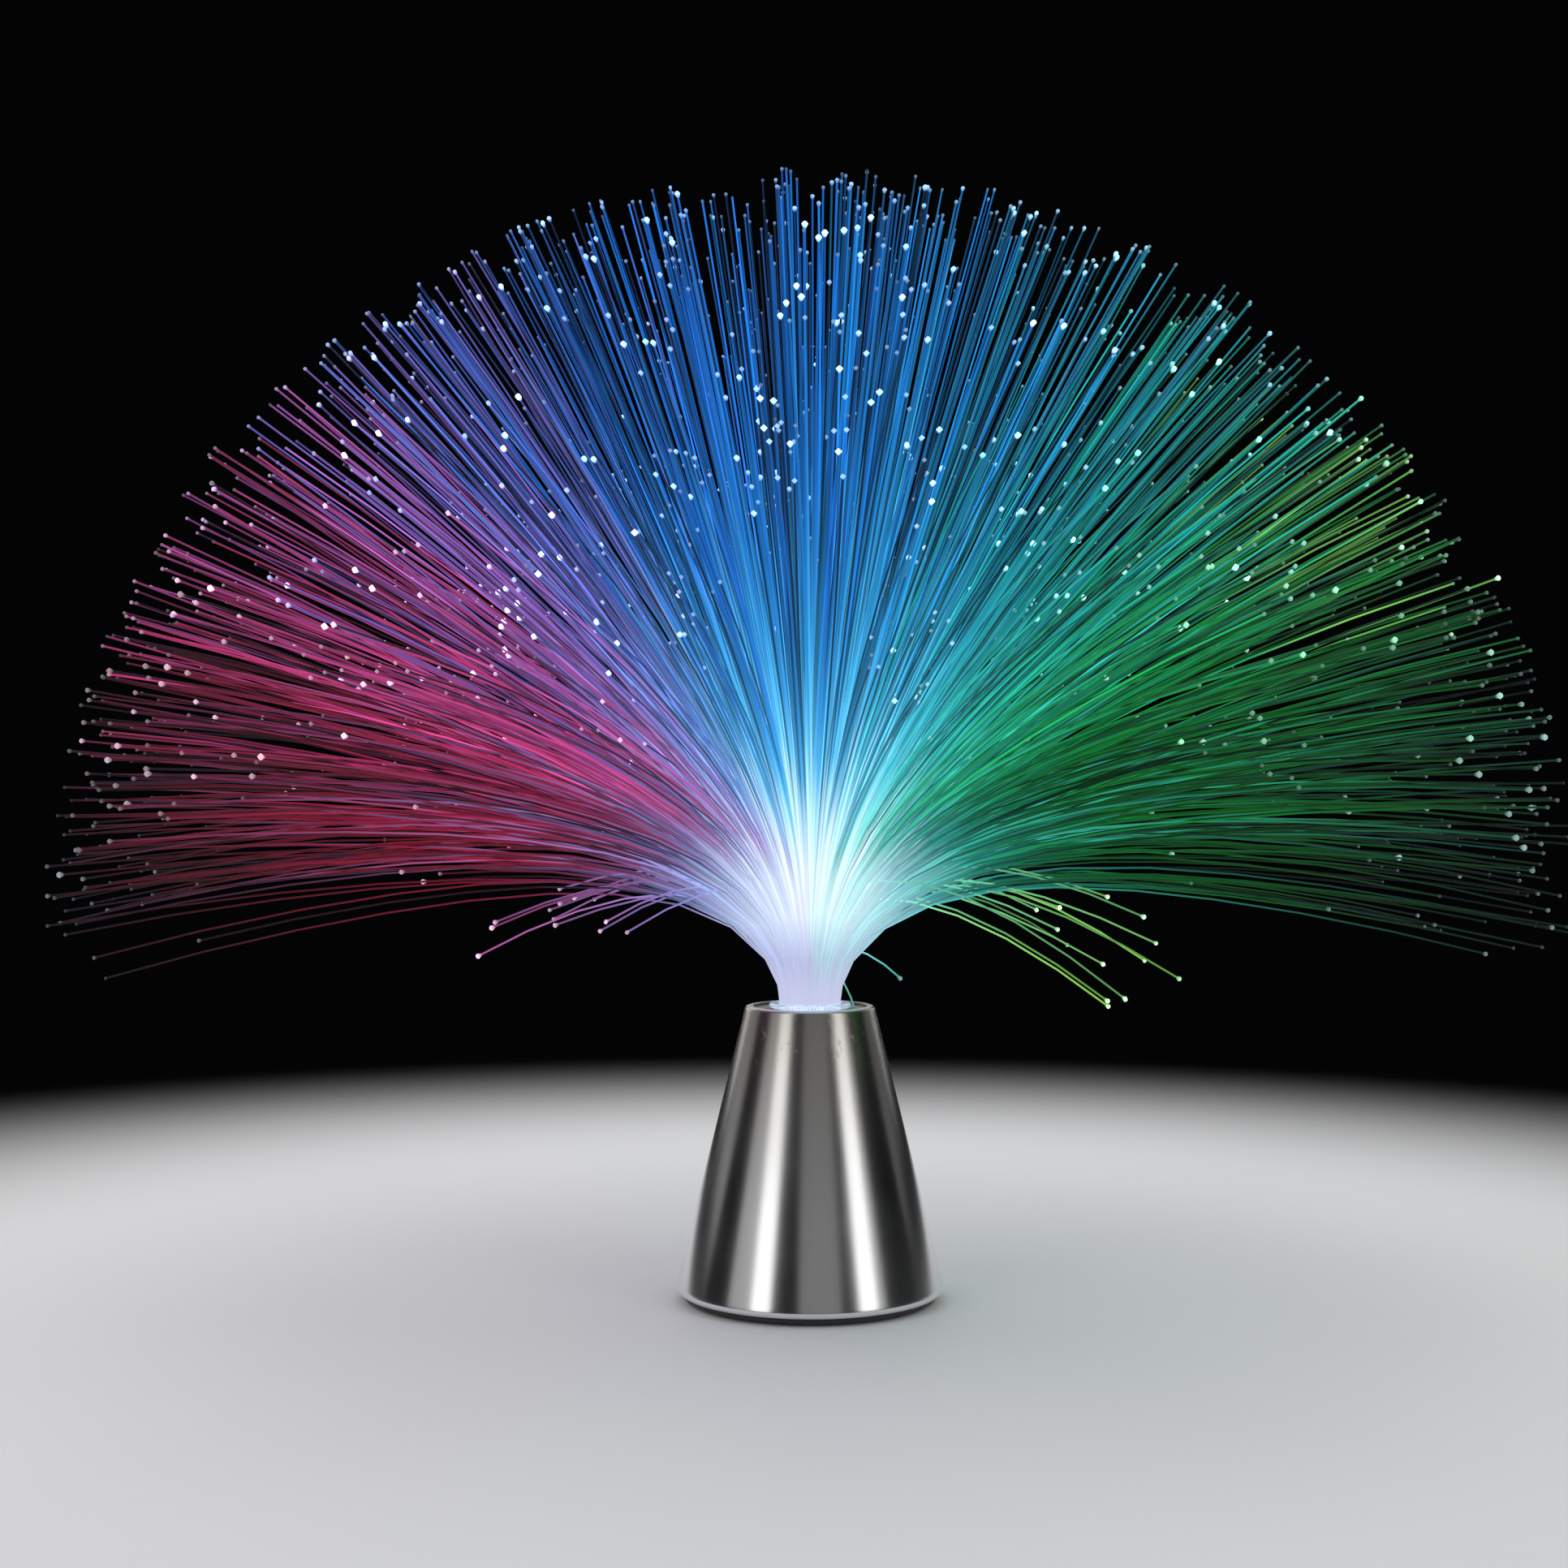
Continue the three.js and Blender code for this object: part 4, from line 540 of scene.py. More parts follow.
# short fibres that rise, then arch over low at either side, and two stubs over the rim at the right
stray = {
    "count": 28, "azimuthJitter": 0.35, "lean": (108, 124), "length": (92, 112), "rightLonger": (0, 28),
    "bend": (27, 34), "rise": 14 * mm, "rises": (0.7, 1.2), "brightness": (0.7, 1.4),
    "extra": (0.1, 0.5), "beadLight": (0.8, 1.8), "stain": (0.3, 1), "leftStain": 0.5,
}
stub = {
    "azimuth": (-0.25, 0.3), "lean": np.radians((172, 140)), "length": (47 * mm, 44 * mm),
    "bend": (10 * mm, 14 * mm), "rise": 9 * mm,
}

# light from the three colours under the plug, and how it spills over the spray
glow = {
    "red": (0.64, 0.014, 0.075), "blue": (0.005, 0.108, 0.47), "green": (0.004, 0.27, 0.03),
    "yellow": (0.42, 0.72, 0.05), "violet": (0.34, 0.10, 0.42), "redFrom": (-22, -90),
    "greenFrom": (-10, 74), "dimRight": (50, 80), "dimLeft": (56, 84), "dim": 0.75, "dimFar": 0.95,
    "dimFrom": (90 * mm, 215 * mm), "yellowAt": 55, "yellowWidth": 5, "yellowShare": 0.4,
    "yellowFrom": (140 * mm, 172 * mm), "yellowTo": (-212 * mm, -188 * mm), "stainShare": 0.6,
    "fade": (1.12, 0.2), "core": (0, 0, 42 * mm), "coreSize": (31 * mm, 33 * mm, 36 * mm),
    "depthShare": 0.8, "narrow": 0.36, "narrowFrom": (28, 76), "coreWidth": 0.45, "haloSize": 63 * mm,
    "reachSize": 108 * mm, "reachShare": 0.8, "neck": 18 * mm,
    "hot": (1.25, 1.28, 1.28), "lavender": (0.56, 0.58, 0.80), "pale": (0.10, 0.64, 0.97),
    "paleLeft": (0.13, 0.26, 0.68), "paleRight": (0.05, 0.55, 0.50), "paleTurn": (22, 68),
    "paleOwn": 0.35, "paleLeast": 0.45,
    "tipOwn": 1.4, "tipWhite": (0.34, 0.45, 0.50), "tipDim": 0.35, "livelyFrom": 0.3,
}


def smooth(value, start, end):
    # 0 at start, 1 at end, with an even S-curve between
    share = np.clip((value - start) / (end - start), 0, 1)
    return share * share * (3 - 2 * share)


def fromLeast(value, least):
    # 0 to 1 becomes least to 1
    return least + (1 - least) * value


def addStrays(random, fibres):
    # the last fibres become the strays, every second one at the right, and the last two the stubs
    count = stray["count"]
    right = np.arange(count) % 2 == 0

    def draw(key):
        return random.uniform(*stray[key], count)

    changed = {
        "azimuth": np.where(right, 0.0, np.pi) + random.normal(0, stray["azimuthJitter"], count),
        "lean": np.radians(draw("lean")),
        "length": draw("length") * mm + np.where(right, draw("rightLonger") * mm, 0),
        "bend": draw("bend") * mm,
        "rise": stray["rise"] * draw("rises"),
        "brightness": draw("brightness"),
        "extra": draw("extra"),
        "beadLight": draw("beadLight"),
        "stain": draw("stain") * np.where(right, 1, stray["leftStain"]),
        "stainColour": np.where(right[:, None], glow["yellow"], glow["violet"]),
    }
    for key, value in changed.items():
        fibres[key][-count:] = value
    for key, value in stub.items():
        fibres[key][-2:] = value


def sprayFibres():
    # every fibre's root, direction, lean, bend, length and brightness, drawn at random from one seed
    random = np.random.default_rng(spray["seed"])
    count, tufts = spray["count"], spray["tufts"]
    order = np.arange(count) + 0.5
    share = np.sqrt(order / count)
    rootAzimuth = order * np.pi * (3 - np.sqrt(5))
    azimuth = rootAzimuth + random.normal(0, spray["azimuthJitter"], count)
    fan = np.abs(np.cos(azimuth)) ** spray["fanPower"]
    furthest = np.radians(spray["frontLean"] + fan * (spray["sideLean"] - spray["frontLean"]))
    lean = np.arccos(1 - share ** 2 * (1 - np.cos(furthest)))
    lean = lean + random.normal(0, np.radians(spray["leanJitter"]), count)
    # neighbours are drawn together into tufts that share a brightness, a tint and, in some, a short cut
    tips = np.stack([*polar(np.sin(lean), azimuth), np.cos(lean)], 1)
    middles = tips[random.choice(count, tufts, replace=False)]
    tuft = np.argmax(tips @ middles.T, 1)
    pull = spray["tuftPull"] * random.uniform(*spray["pulls"], count)[:, None]
    tips = tips * (1 - pull) + middles[tuft] * pull
    lean = np.arctan2(np.hypot(tips[:, 0], tips[:, 1]), tips[:, 2])
    azimuth = np.arctan2(tips[:, 1], tips[:, 0])
    depth = np.abs(tips[:, 1])
    length = spray["length"] * (1 - spray["sideTrim"] * (1 - np.cos(lean)))
    length = length * (1 - spray["endTrim"] * random.uniform(0, 1, count) ** 2)
    isShort = (random.random(tufts) < spray["shortTufts"])[tuft] & (depth > spray["shortFrom"])
    cut = random.uniform(*spray["shortCut"], tufts)[tuft] + random.normal(0, spray["cutJitter"], count)
    length = np.where(isShort, length * cut, length)
    single = random.random(count) < spray["singles"]
    length = np.where(single, length * random.uniform(*spray["singleCut"], count), length)
    bend = spray["bend"] * random.uniform(*spray["bends"], count)
    brightness = np.exp(random.normal(*spray["brightness"], count))
    brightness = brightness * random.uniform(*spray["tuftBrightness"], tufts)[tuft]
    brightness = np.clip(brightness, *spray["brightnessLimits"])
    brightness = np.where(random.random(count) < spray["darkShare"], spray["dark"], brightness)
    isBright = random.random(count) < spray["brightShare"]
    extra = np.where(isBright, random.uniform(*spray["brightReach"], count), 0.0)
    beadLight = np.clip(np.exp(random.normal(*bead["light"], count)), *bead["lightLimits"])
    # the tips of short ones and of those that lean to the front or back are brighter than the outermost
    longLight = bead["outerLight"] + bead["innerGain"] * smooth(depth, *bead["innerFrom"])
    beadLight *= np.where(isShort | single, bead["shortLight"], longLight)
    fibres = {
        "root": np.stack(polar(spray["potRadius"] * share * spray["rootFill"], rootAzimuth), 1),
        "azimuth": azimuth, "lean": lean, "length": length, "bend": bend, "rise": np.zeros(count),
        "brightness": brightness, "extra": extra, "beadLight": beadLight, "stain": np.zeros(count),
        "stainColour": np.where(np.cos(azimuth)[:, None] > 0, glow["yellow"], glow["violet"]),
    }
    addStrays(random, fibres)
    size, gain = bead["size"]
    fibres["drift"] = random.normal(0, np.radians(spray["drift"]), count)
    fibres["beadSize"] = np.clip(size + gain * fibres["beadLight"], *bead["sizeLimits"])
    tint = random.normal(0, spray["tint"], count)
    fibres["tint"] = tint + random.normal(0, spray["tuftTint"], tufts)[tuft]
    return fibres


def fibrePaths(fibres, bottom):
    # each fibre's middle line: its lean grows as lean * (1 - exp(-s / bend)) with the length s past its
    # straight rise, then it sags as the square of its share of the length, and drifts a little sideways
    steps = spray["fineSteps"]
    share = (np.arange(steps) + 0.5) / steps
    along = np.maximum(share * fibres["length"][:, None] - fibres["rise"][:, None], 0)
    sag = np.radians(spray["sag"]) * share ** 2 * np.sin(fibres["lean"])[:, None]
    angle = fibres["lean"][:, None] * (1 - np.exp(-along / fibres["bend"][:, None])) + sag
    heading = fibres["azimuth"][:, None] + fibres["drift"][:, None] * (share - 0.5)
    step = (fibres["length"] / steps)[:, None, None]
    tangent = np.stack([*polar(np.sin(angle), heading), np.cos(angle)], 2)
    start = np.zeros((len(angle), 1, 3))
    start[:, 0, :2] = fibres["root"]
    start[:, 0, 2] = bottom
    points = np.concatenate([start, start + np.cumsum(tangent * step, 1)], 1)
    tangent = np.concatenate([tangent[:, :1], tangent], 1)
    # rings stand closer together in the bend than further out
    places = np.rint(steps * np.linspace(0, 1, spray["rings"]) ** spray["crowding"]).astype(int)
    return points[:, places], tangent[:, places], places / steps


def ownColour(fibres, points, core):
    # the three colours mixed by the direction from the core, from red at the left through blue to green
    # at the right, darker where they lean over, with one yellow-green patch far out at the right
    across, up = points[..., 0] - core[0], points[..., 2] - core[2]
    angle = np.degrees(np.arctan2(across, up)) + fibres["tint"][:, None]
    redShare = smooth(angle, *glow["redFrom"])[..., None]
    greenShare = smooth(angle, *glow["greenFrom"])[..., None]
    own = redShare * glow["red"] + greenShare * glow["green"]
    own = own + (1 - redShare) * (1 - greenShare) * np.array(glow["blue"])
    away = np.hypot(across, up)
    low = np.maximum(smooth(angle, *glow["dimRight"]), smooth(-angle, *glow["dimLeft"]))
    dim = (1 - glow["dim"] * low) * (1 - glow["dimFar"] * low * smooth(away, *glow["dimFrom"]))
    far = smooth(away, *glow["yellowFrom"]) * smooth(-away, *glow["yellowTo"])
    patch = np.exp(-((angle - glow["yellowAt"]) / glow["yellowWidth"]) ** 2)
    patch = (glow["yellowShare"] * far * patch)[..., None]
    stain = fibres["stain"][:, None, None]
    own = own * np.maximum(dim[..., None], stain)
    own = own * (1 - patch) + patch * np.array(glow["yellow"])
    stain = glow["stainShare"] * stain
    return own * (1 - stain) + stain * fibres["stainColour"][:, None, :]


def glowAlong(fibres, points, share, bottom):
    # white hot round the core as exp(-(away / size) ** 3), where red falls off first, so that it turns
    # cyan outwards; round that a pale halo in a wider bell curve, which leans to violet at the left and
    # to green at the right; lavender at the plug; and beyond them the fibre's own colour
    core = np.array(glow["core"]) + (0, 0, bottom)
    own = ownColour(fibres, points, core)
    full, loss = glow["fade"]
    strength = (fibres["brightness"][:, None] * (full - loss * share ** 3))[..., None]
    away = np.linalg.norm((points - core) * (1, glow["depthShare"], 1), axis=2)[..., None]
    angle = np.degrees(np.arctan2(points[..., :1], points[..., 2:] - core[2]))
    narrow = 1 - glow["narrow"] * smooth(np.abs(angle), *glow["narrowFrom"])
    halo = np.exp(-(away / narrow / glow["haloSize"]) ** 2)
    reach = fibres["extra"][:, None, None] * np.exp(-(away / glow["reachSize"]) ** 2)
    halo = np.clip(halo + glow["reachShare"] * reach, 0, 1)
    hot = np.exp(-(away / fromLeast(narrow, glow["coreWidth"]) / np.array(glow["coreSize"])) ** 3)
    neck = np.exp(-(share * fibres["length"][:, None] / glow["neck"]) ** 2)[..., None]
    left, right = smooth(-angle, *glow["paleTurn"]), smooth(angle, *glow["paleTurn"])
    pale = (1 - left - right) * glow["pale"] + left * glow["paleLeft"] + right * glow["paleRight"]
    pale = pale + glow["paleOwn"] * own
    light = own * strength * (1 - halo) + pale * halo * fromLeast(strength, glow["paleLeast"])
    light = light * (1 - hot) + np.array(glow["hot"]) * hot
    return light * (1 - neck) + np.array(glow["lavender"]) * neck, own[:, -1]


def fibreMesh(name, fibres, bottom):
    # square rings carried along each middle line and square to it, thinner in the plug, closed at both
    # ends, and swollen at the tip into a small bead
    points, tangent, share = fibrePaths(fibres, bottom)
    count, sides = len(points), spray["sides"]
    across = np.stack([-np.sin(fibres["azimuth"]), np.cos(fibres["azimuth"]), np.zeros(count)], 1)[:, None, :]
    light, own = glowAlong(fibres, points, share, bottom)
    beadSize = bead["radius"] * fibres["beadSize"]
    shift = np.array(bead["rings"])[:, None] * beadSize[:, None, None]
    points = np.concatenate([points[:, :-1], points[:, -1:] + tangent[:, -1:] * shift], 1)
    tangent = np.concatenate([tangent[:, :-1], np.repeat(tangent[:, -1:], 3, 1)], 1)
    normal = np.cross(across, tangent)
    rings = points.shape[1]
    along = np.append(share[:-1], [1, 1, 1]) * fibres["length"][:, None]
    radius = spray["radius"] * fromLeast(smooth(along, 0, spray["fullAt"]), spray["rootShare"])
    radius[:, -2], radius[:, -1] = beadSize, bead["endShare"] * beadSize
    turn = np.arange(sides) * 2 * np.pi / sides
    ring = np.cos(turn)[:, None] * normal[:, :, None, :] + np.sin(turn)[:, None] * across[:, :, None, :]
    vertices = points[:, :, None, :] + radius[:, :, None, None] * ring
    lively = np.clip(own.max(1, keepdims=True) / glow["livelyFrom"], glow["tipDim"], 1)
    tip = (own * glow["tipOwn"] + lively * glow["tipWhite"]) * fibres["beadLight"][:, None]
    light = np.concatenate([light, tip[:, None], tip[:, None]], 1)
    end, last = np.arange(sides), (rings - 1) * sides
    tube = np.concatenate([ringFaces(rings, sides), [end[::-1]], [last + end]])
    faces = (tube[None] + (np.arange(count) * rings * sides)[:, None, None]).reshape(-1, sides)
    mesh = meshFromFaces(name, vertices.reshape(-1, 3), faces)
    colours = np.ones((count, rings, sides, 4), dtype=np.float32)
    colours[..., :3] = light[:, :, None, :]
    layer = mesh.color_attributes.new("glow", "FLOAT_COLOR", "POINT")
    layer.data.foreach_set("color", colours.ravel())
    return mesh


def litFibre():
    # clear fibre that leaks light along its side; the glow attribute says how much and what colour
    material, tree, shader = newMaterial("lit fibre")
    light = node(tree, "Attribute", attribute_name="glow").outputs["Color"]
    feedAll(tree, shader, {
        "Base Color": blendColours(tree, share=0.93, first=light, second=(0.008, 0.010, 0.014)),
        "Roughness": 0.35, "Specular IOR Level": 0.08, "Emission Color": light, "Emission Strength": 1,
    })
    material.cycles.emission_sampling = "NONE"
    return material


def pottedEnds():
    # the potted end's faces: pale resin with a bright dot where each fibre ends
    material, tree, shader = newMaterial("potted fibre ends")
    cells = node(tree, "TexVoronoi", {"Vector": objectPoint(tree), "Scale": 1900}, feature="F1")
    dots = spread(tree, cells.outputs["Distance"], start=0.25, end=0.5, low=1.0, high=0.35)
    shade = blendColours(tree, dots, (0.25, 0.32, 0.5), (0.95, 0.98, 1.0))
    feedAll(tree, shader, {
        "Base Color": shade, "Roughness": 0.3, "Emission Color": shade, "Emission Strength": 0.8})
    return material


def addSpray():
    fibres = sprayFibres()
    material = litFibre()
    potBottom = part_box("fibres_front")[0].z
    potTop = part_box("fibre_ferrule")[1].z
    quarter = np.floor((fibres["azimuth"] + np.pi / 4) / (np.pi / 2)).astype(int) % 4
    quarters = (("Right", "green"), ("Back", "blue"), ("Left", "red"), ("Front", "blue"))
    for k, (side, colour) in enumerate(quarters):
        chosen = {key: value[quarter == k] for key, value in fibres.items()}
        mesh = fibreMesh(f"fibres{side}", chosen, potTop - spray["rootDepth"])
        place(f"fibres{side}", mesh, material, "spray", [f"fibres_{side.lower()}"],
              sharpAngle=math.pi)
    ease, radius = spray["potEase"], spray["potRadius"]
    outline = [(0, potBottom), (radius - ease, potBottom), (radius, potBottom + ease),
               (radius, potTop - ease), (radius - ease, potTop), (0, potTop + ease)]
    place("pottedEnd", turned("pottedEnd", outline, 96), pottedEnds(), "spray")


addSpray()
print("spray made")


# Plug and socket

def clearPlastic():
    # clear moulded plastic that carries a little of the light
    material, tree, shader = newMaterial("clear plastic")
    point = objectPoint(tree)
    feedAll(tree, shader, {
        "Base Color": (0.90, 0.94, 0.98, 1), "Transmission Weight": 0.85, "IOR": 1.49,
        "Roughness": between(tree, noise(tree, point, scale=200), 0.08, 0.2),
        "Normal": bump(tree, noise(tree, point, scale=500), distance=0.01 * mm, strength=0.3),
        "Emission Color": (0.62, 0.74, 1.0, 1), "Emission Strength": 0.12,
    })
    material.cycles.emission_sampling = "NONE"
    return material


blackPlastic = mouldedPlastic("black plastic", (0.016, 0.016, 0.018), (0.020, 0.020, 0.022), 0.42)
greyPlastic = mouldedPlastic("dark grey plastic", (0.034, 0.035, 0.040), (0.040, 0.041, 0.047), 0.36)
axis = [(0, 0)]

placeCopy("socket_collar", greyPlastic, "base", 0.15 * mm, axis)
placeCopy("fibre_ferrule", clearPlastic(), "spray", 0.12 * mm, axis)
print("plug and socket made")


# Underside: plate, door, switch and feet

def middle(nodeName):
    # the middle of a node's box, seen from above
    low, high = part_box(nodeName)
    return (low.x + high.x) / 2, (low.y + high.y) / 2


def middles(kind, count):
    return [middle(f"{kind}_{i}") for i in range(1, count + 1)]


def rubber():
    # matt rubber with a grain
    material, tree, shader = newMaterial("foot rubber")
    grain = noise(tree, objectPoint(tree), scale=1800, detail=4)
    feedAll(tree, shader, {
        "Base Color": blendColours(tree, grain, (0.018, 0.018, 0.019), (0.035, 0.035, 0.037)),
        "Roughness": between(tree, grain, 0.75, 0.95),
        "Normal": bump(tree, grain, distance=0.03 * mm, strength=0.6),
    })
    return material


footPad = {
    "ease": 0.35 * mm, "easeSteps": 5, "grooveRadiusShare": 0.62, "grooveWidth": 0.5 * mm,
    "grooveSteps": 8, "sides": 64,
}


def padOutline(low, high):
    # a disc with round edges and a shallow ring groove in its underside
    radius, ease = (high.x - low.x) / 2, footPad["ease"]
    ring, half = radius * footPad["grooveRadiusShare"], footPad["grooveWidth"] / 2
    return [(0, low.z), (ring - half, low.z),
            *arc(ring, low.z, half, math.pi, 0, footPad["grooveSteps"]), (ring + half, low.z),
            *arc(radius - ease, low.z + ease, ease, -math.pi / 2, 0, footPad["easeSteps"]),
            (radius, high.z), (0, high.z)]


def addFeet():
    material = rubber()
    for i in range(1, 5):
        low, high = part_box(f"foot_pad_{i}")
        mesh = turned("pad", padOutline(low, high), footPad["sides"], middle(f"foot_pad_{i}"))
        place(f"footPad_{i}", mesh, material, "base", [f"foot_pad_{i}"])


lugSpots = middles("case_screw", 3)
plateSpots = axis + lugSpots + middles("foot_pad", 4)
placeCopy("base_plate", blackPlastic, "base", 0.12 * mm, plateSpots)
placeCopy("battery_door", blackPlastic, "door", 0.15 * mm, axis)
placeCopy("switch_knob", greyPlastic, "switch", 0.1 * mm)
addFeet()

marks = {
    "textHeight": 2.3 * mm, "relief": 0.18 * mm, "away": 9.4 * mm, "arrowRadius": 12.6 * mm,
    "arrowWidth": 0.9 * mm, "arrowHead": 2.6 * mm, "arrowSweep": (200, 240), "arrowPoints": 15,
}


def raisedWord(word, x, y, bottom):
    # a word in plain capitals that stands out of the underside, to be read from below
    curve = bpy.data.curves.new(word, "FONT")
    curve.body = word
    curve.size = marks["textHeight"]
    curve.extrude = marks["relief"] / 2
    curve.align_x, curve.align_y = "CENTER", "CENTER"
    lettering = bpy.data.objects.new(word, curve)
    bpy.context.scene.collection.objects.link(lettering)
    bpy.context.view_layer.update()
    mesh = bpy.data.meshes.new_from_object(lettering)
    bpy.data.objects.remove(lettering)
    mesh.transform(Matrix.Translation((x, y, bottom)) @ Matrix.Rotation(math.pi, 4, "X"))
    return mesh


def raisedArrow(bottom, top):
    # an arc band with a pointed head that shows which way the door opens
    start, end = (math.radians(degrees) for degrees in marks["arrowSweep"])
    radius, half, head = marks["arrowRadius"], marks["arrowWidth"] / 2, marks["arrowHead"]
    angle = np.linspace(start, end, marks["arrowPoints"])
    inner, outer = (list(zip(*polar(radius + side * half, angle))) for side in (-1, 1))
    shoulders = [polar(radius + side * head / 2, end) for side in (1, -1)]
    flat = [*outer, shoulders[0], polar(radius, end + head / radius), shoulders[1], *inner[::-1]]
    work = bmesh.new()
    face = work.faces.new([work.verts.new((x, y, bottom)) for x, y in flat])
    raised = bmesh.ops.extrude_face_region(work, geom=[face])["geom"]
    raised = [part for part in raised if isinstance(part, bmesh.types.BMVert)]
    bmesh.ops.translate(work, vec=(0, 0, top - bottom), verts=raised)
    bmesh.ops.recalc_face_normals(work, faces=work.faces)
    mesh = bpy.data.meshes.new("arrow")
    work.to_mesh(mesh)
    work.free()
    return mesh


def addMarks():
    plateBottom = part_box("base_plate")[0].z
    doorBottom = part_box("battery_door")[0].z
    switchY = middle("switch_knob")[1]
    words = joined("switchMarks",
                   cleaned(raisedWord("ON", marks["away"], switchY, plateBottom)),
                   cleaned(raisedWord("OFF", -marks["away"], switchY, plateBottom)))
    place("switchMarks", words, greyPlastic, "base")
    arrow = raisedArrow(doorBottom - marks["relief"], doorBottom + marks["relief"])
    place("doorArrow", arrow, greyPlastic, "door")


addMarks()
print("underside made")


# Screws

screw = {
    "edge": 0.25 * mm, "dome": 0.3 * mm, "headHeight": 1.1 * mm, "headRings": 16,
    "recessReach": 0.62, "reachFade": 0.15, "recessWidth": 0.14, "widthFade": 0.08,
    "recessDepth": 0.7 * mm, "pitch": 0.9 * mm, "thread": 0.2 * mm, "shank": 1.1 * mm,
    "shankRings": 34, "point": 1.2 * mm, "tipShare": 0.08, "sides": 48,
}


def screwMesh(nodeName, headDown):
    # a domed head with a cross pressed into it, and a shank whose radius swells once a pitch along a
    # helix and narrows to a point
    low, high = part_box(nodeName)
    headRadius, length = (high.x - low.x) / 2, high.z - low.z
    headBottom = length - screw["headHeight"]
    reach, width = screw["recessReach"], screw["recessWidth"]
    angle = np.linspace(0, 2 * np.pi, screw["sides"], endpoint=False)
    top = np.linspace(0, 1, screw["headRings"])[:, None]
    radius = top * (headRadius - screw["edge"])
    x, y = polar(radius, angle)
    arms = [smooth(-np.abs(a) / headRadius, -width - screw["widthFade"], -width)
            * smooth(-np.abs(b) / headRadius, -reach, -reach + screw["reachFade"])
            for a, b in ((x, y), (y, x))]
    height = length - screw["dome"] * top ** 2 - screw["recessDepth"] * np.maximum(*arms)
    edge = np.array([[headRadius, length - screw["dome"] - screw["edge"]],
                     [headRadius, headBottom], [screw["shank"], headBottom]])
    down = np.linspace(headBottom, 0, screw["shankRings"])[1:, None]
    wave = 0.5 + 0.5 * np.cos(2 * np.pi * down / screw["pitch"] - angle)
    taper = fromLeast(smooth(down, 0, screw["point"]), screw["tipShare"])
    shank = (screw["shank"] - screw["thread"] * (1 - wave)) * taper
    ones = np.ones_like(angle)
    radii = np.concatenate([radius * ones, edge[:, :1] * ones, shank, 0 * ones[None]])
    heights = np.concatenate([height, edge[:, 1:] * ones, down * ones, 0 * ones[None]])
    x, y = middle(nodeName)
    turn = -1 if headDown else 1
    grid = np.stack([x + radii * np.cos(angle), y + turn * radii * np.sin(angle),
                     (high.z - heights if headDown else low.z + heights)], 2)
    return cleaned(meshFromGrid("screw", grid))


screwMetal = drawnMetal("zinc-plated steel", (0.62, 0.63, 0.65), (0.45, 0.46, 0.48), 0.28)
for kind, copies in (("case", 3), ("cap", 3), ("board", 3), ("switch", 2)):
    for i in range(1, copies + 1):
        nodeName = f"{kind}_screw_{i}"
        mesh = screwMesh(nodeName, kind == "case")
        place(f"{kind}Screw_{i}", mesh, screwMetal, "base", [nodeName])
print("screws made")


# Inside the cone: case, cells, contacts, board and leads

def finish(nodeName, material):
    # a CAD node keeps its shape and gets a better finish
    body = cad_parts[nodeName]
    if not body.material_slots:
        body.data.materials.append(material)
    for slot in body.material_slots:
        slot.material = material


capSpots, postSpots = middles("cap_screw", 3), middles("board_screw", 3)
caseSpots = axis + middles("cell", 3) + lugSpots + capSpots
placeCopy("battery_case", blackPlastic, "base", 0.12 * mm, caseSpots)
placeCopy("contact_cap", greyPlastic, "base", 0.1 * mm, axis + capSpots + postSpots)
placeCopy("switch_body", greyPlastic, "base", 0.1 * mm)

# the sleeve's ends and band are given as shares of the cell's height, from none to full
cell = {
    "ease": 0.8 * mm, "buttonRadius": 2.75 * mm, "buttonHeight": 1 * mm, "softEdge": 0.25 * mm,
    "crimp": 0.12 * mm, "crimpSlope": 3, "crimpFromTop": 3 * mm, "sides": 96,
    "steelBelow": (0.022, 0.018), "steelAbove": (0.965, 0.969),
    "bandAbove": (0.70, 0.704), "bandBelow": (0.94, 0.936),
}


def cellOutline(radius, length):
    # a can with round edges, a shallow groove near its top and a button
    ease, button, soft = cell["ease"], cell["buttonRadius"], cell["softEdge"]
    bodyTop = length - cell["buttonHeight"]
    groove, slope = bodyTop - cell["crimpFromTop"], cell["crimpSlope"] * cell["crimp"]
    return [(0, 0), (radius - soft, 0), (radius, soft), (radius, groove - slope),
            (radius - cell["crimp"], groove), (radius, groove + slope),
            *arc(radius - ease, bodyTop - ease, ease, 0, math.pi / 2, 6),
            (button, bodyTop), *arc(button - soft, length - soft, soft, 0, math.pi / 2, 4), (0, length)]


def cellSleeve(name, upsideDown):
    # a printed sleeve: slate with one pale band, bare steel at both ends
    material, tree, shader = newMaterial(name)
    low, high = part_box("cell_1")
    point = objectPoint(tree)
    bottom, top = (high.z, low.z) if upsideDown else (low.z, high.z)
    rise = spread(tree, coordinate(tree, point, "Z"), bottom, top)
    steel = maths(tree, "MAXIMUM", *(spread(tree, rise, *cell[key]) for key in ("steelBelow", "steelAbove")))
    band = maths(tree, "MULTIPLY", *(spread(tree, rise, *cell[key]) for key in ("bandAbove", "bandBelow")))
    printed = blendColours(tree, band, (0.035, 0.075, 0.11), (0.62, 0.60, 0.55))
    scuff = spread(tree, noise(tree, point, scale=500, detail=5), start=0.66, end=0.72)
    printed = blendColours(tree, scuff, printed, (0.5, 0.5, 0.5))
    feedAll(tree, shader, {
        "Base Color": blendColours(tree, steel, printed, (0.68, 0.68, 0.69)),
        "Metallic": spread(tree, steel, 0, 1, low=0.25, high=1),
        "Roughness": between(tree, noise(tree, point, scale=120), 0.25, 0.4),
    })
    return material


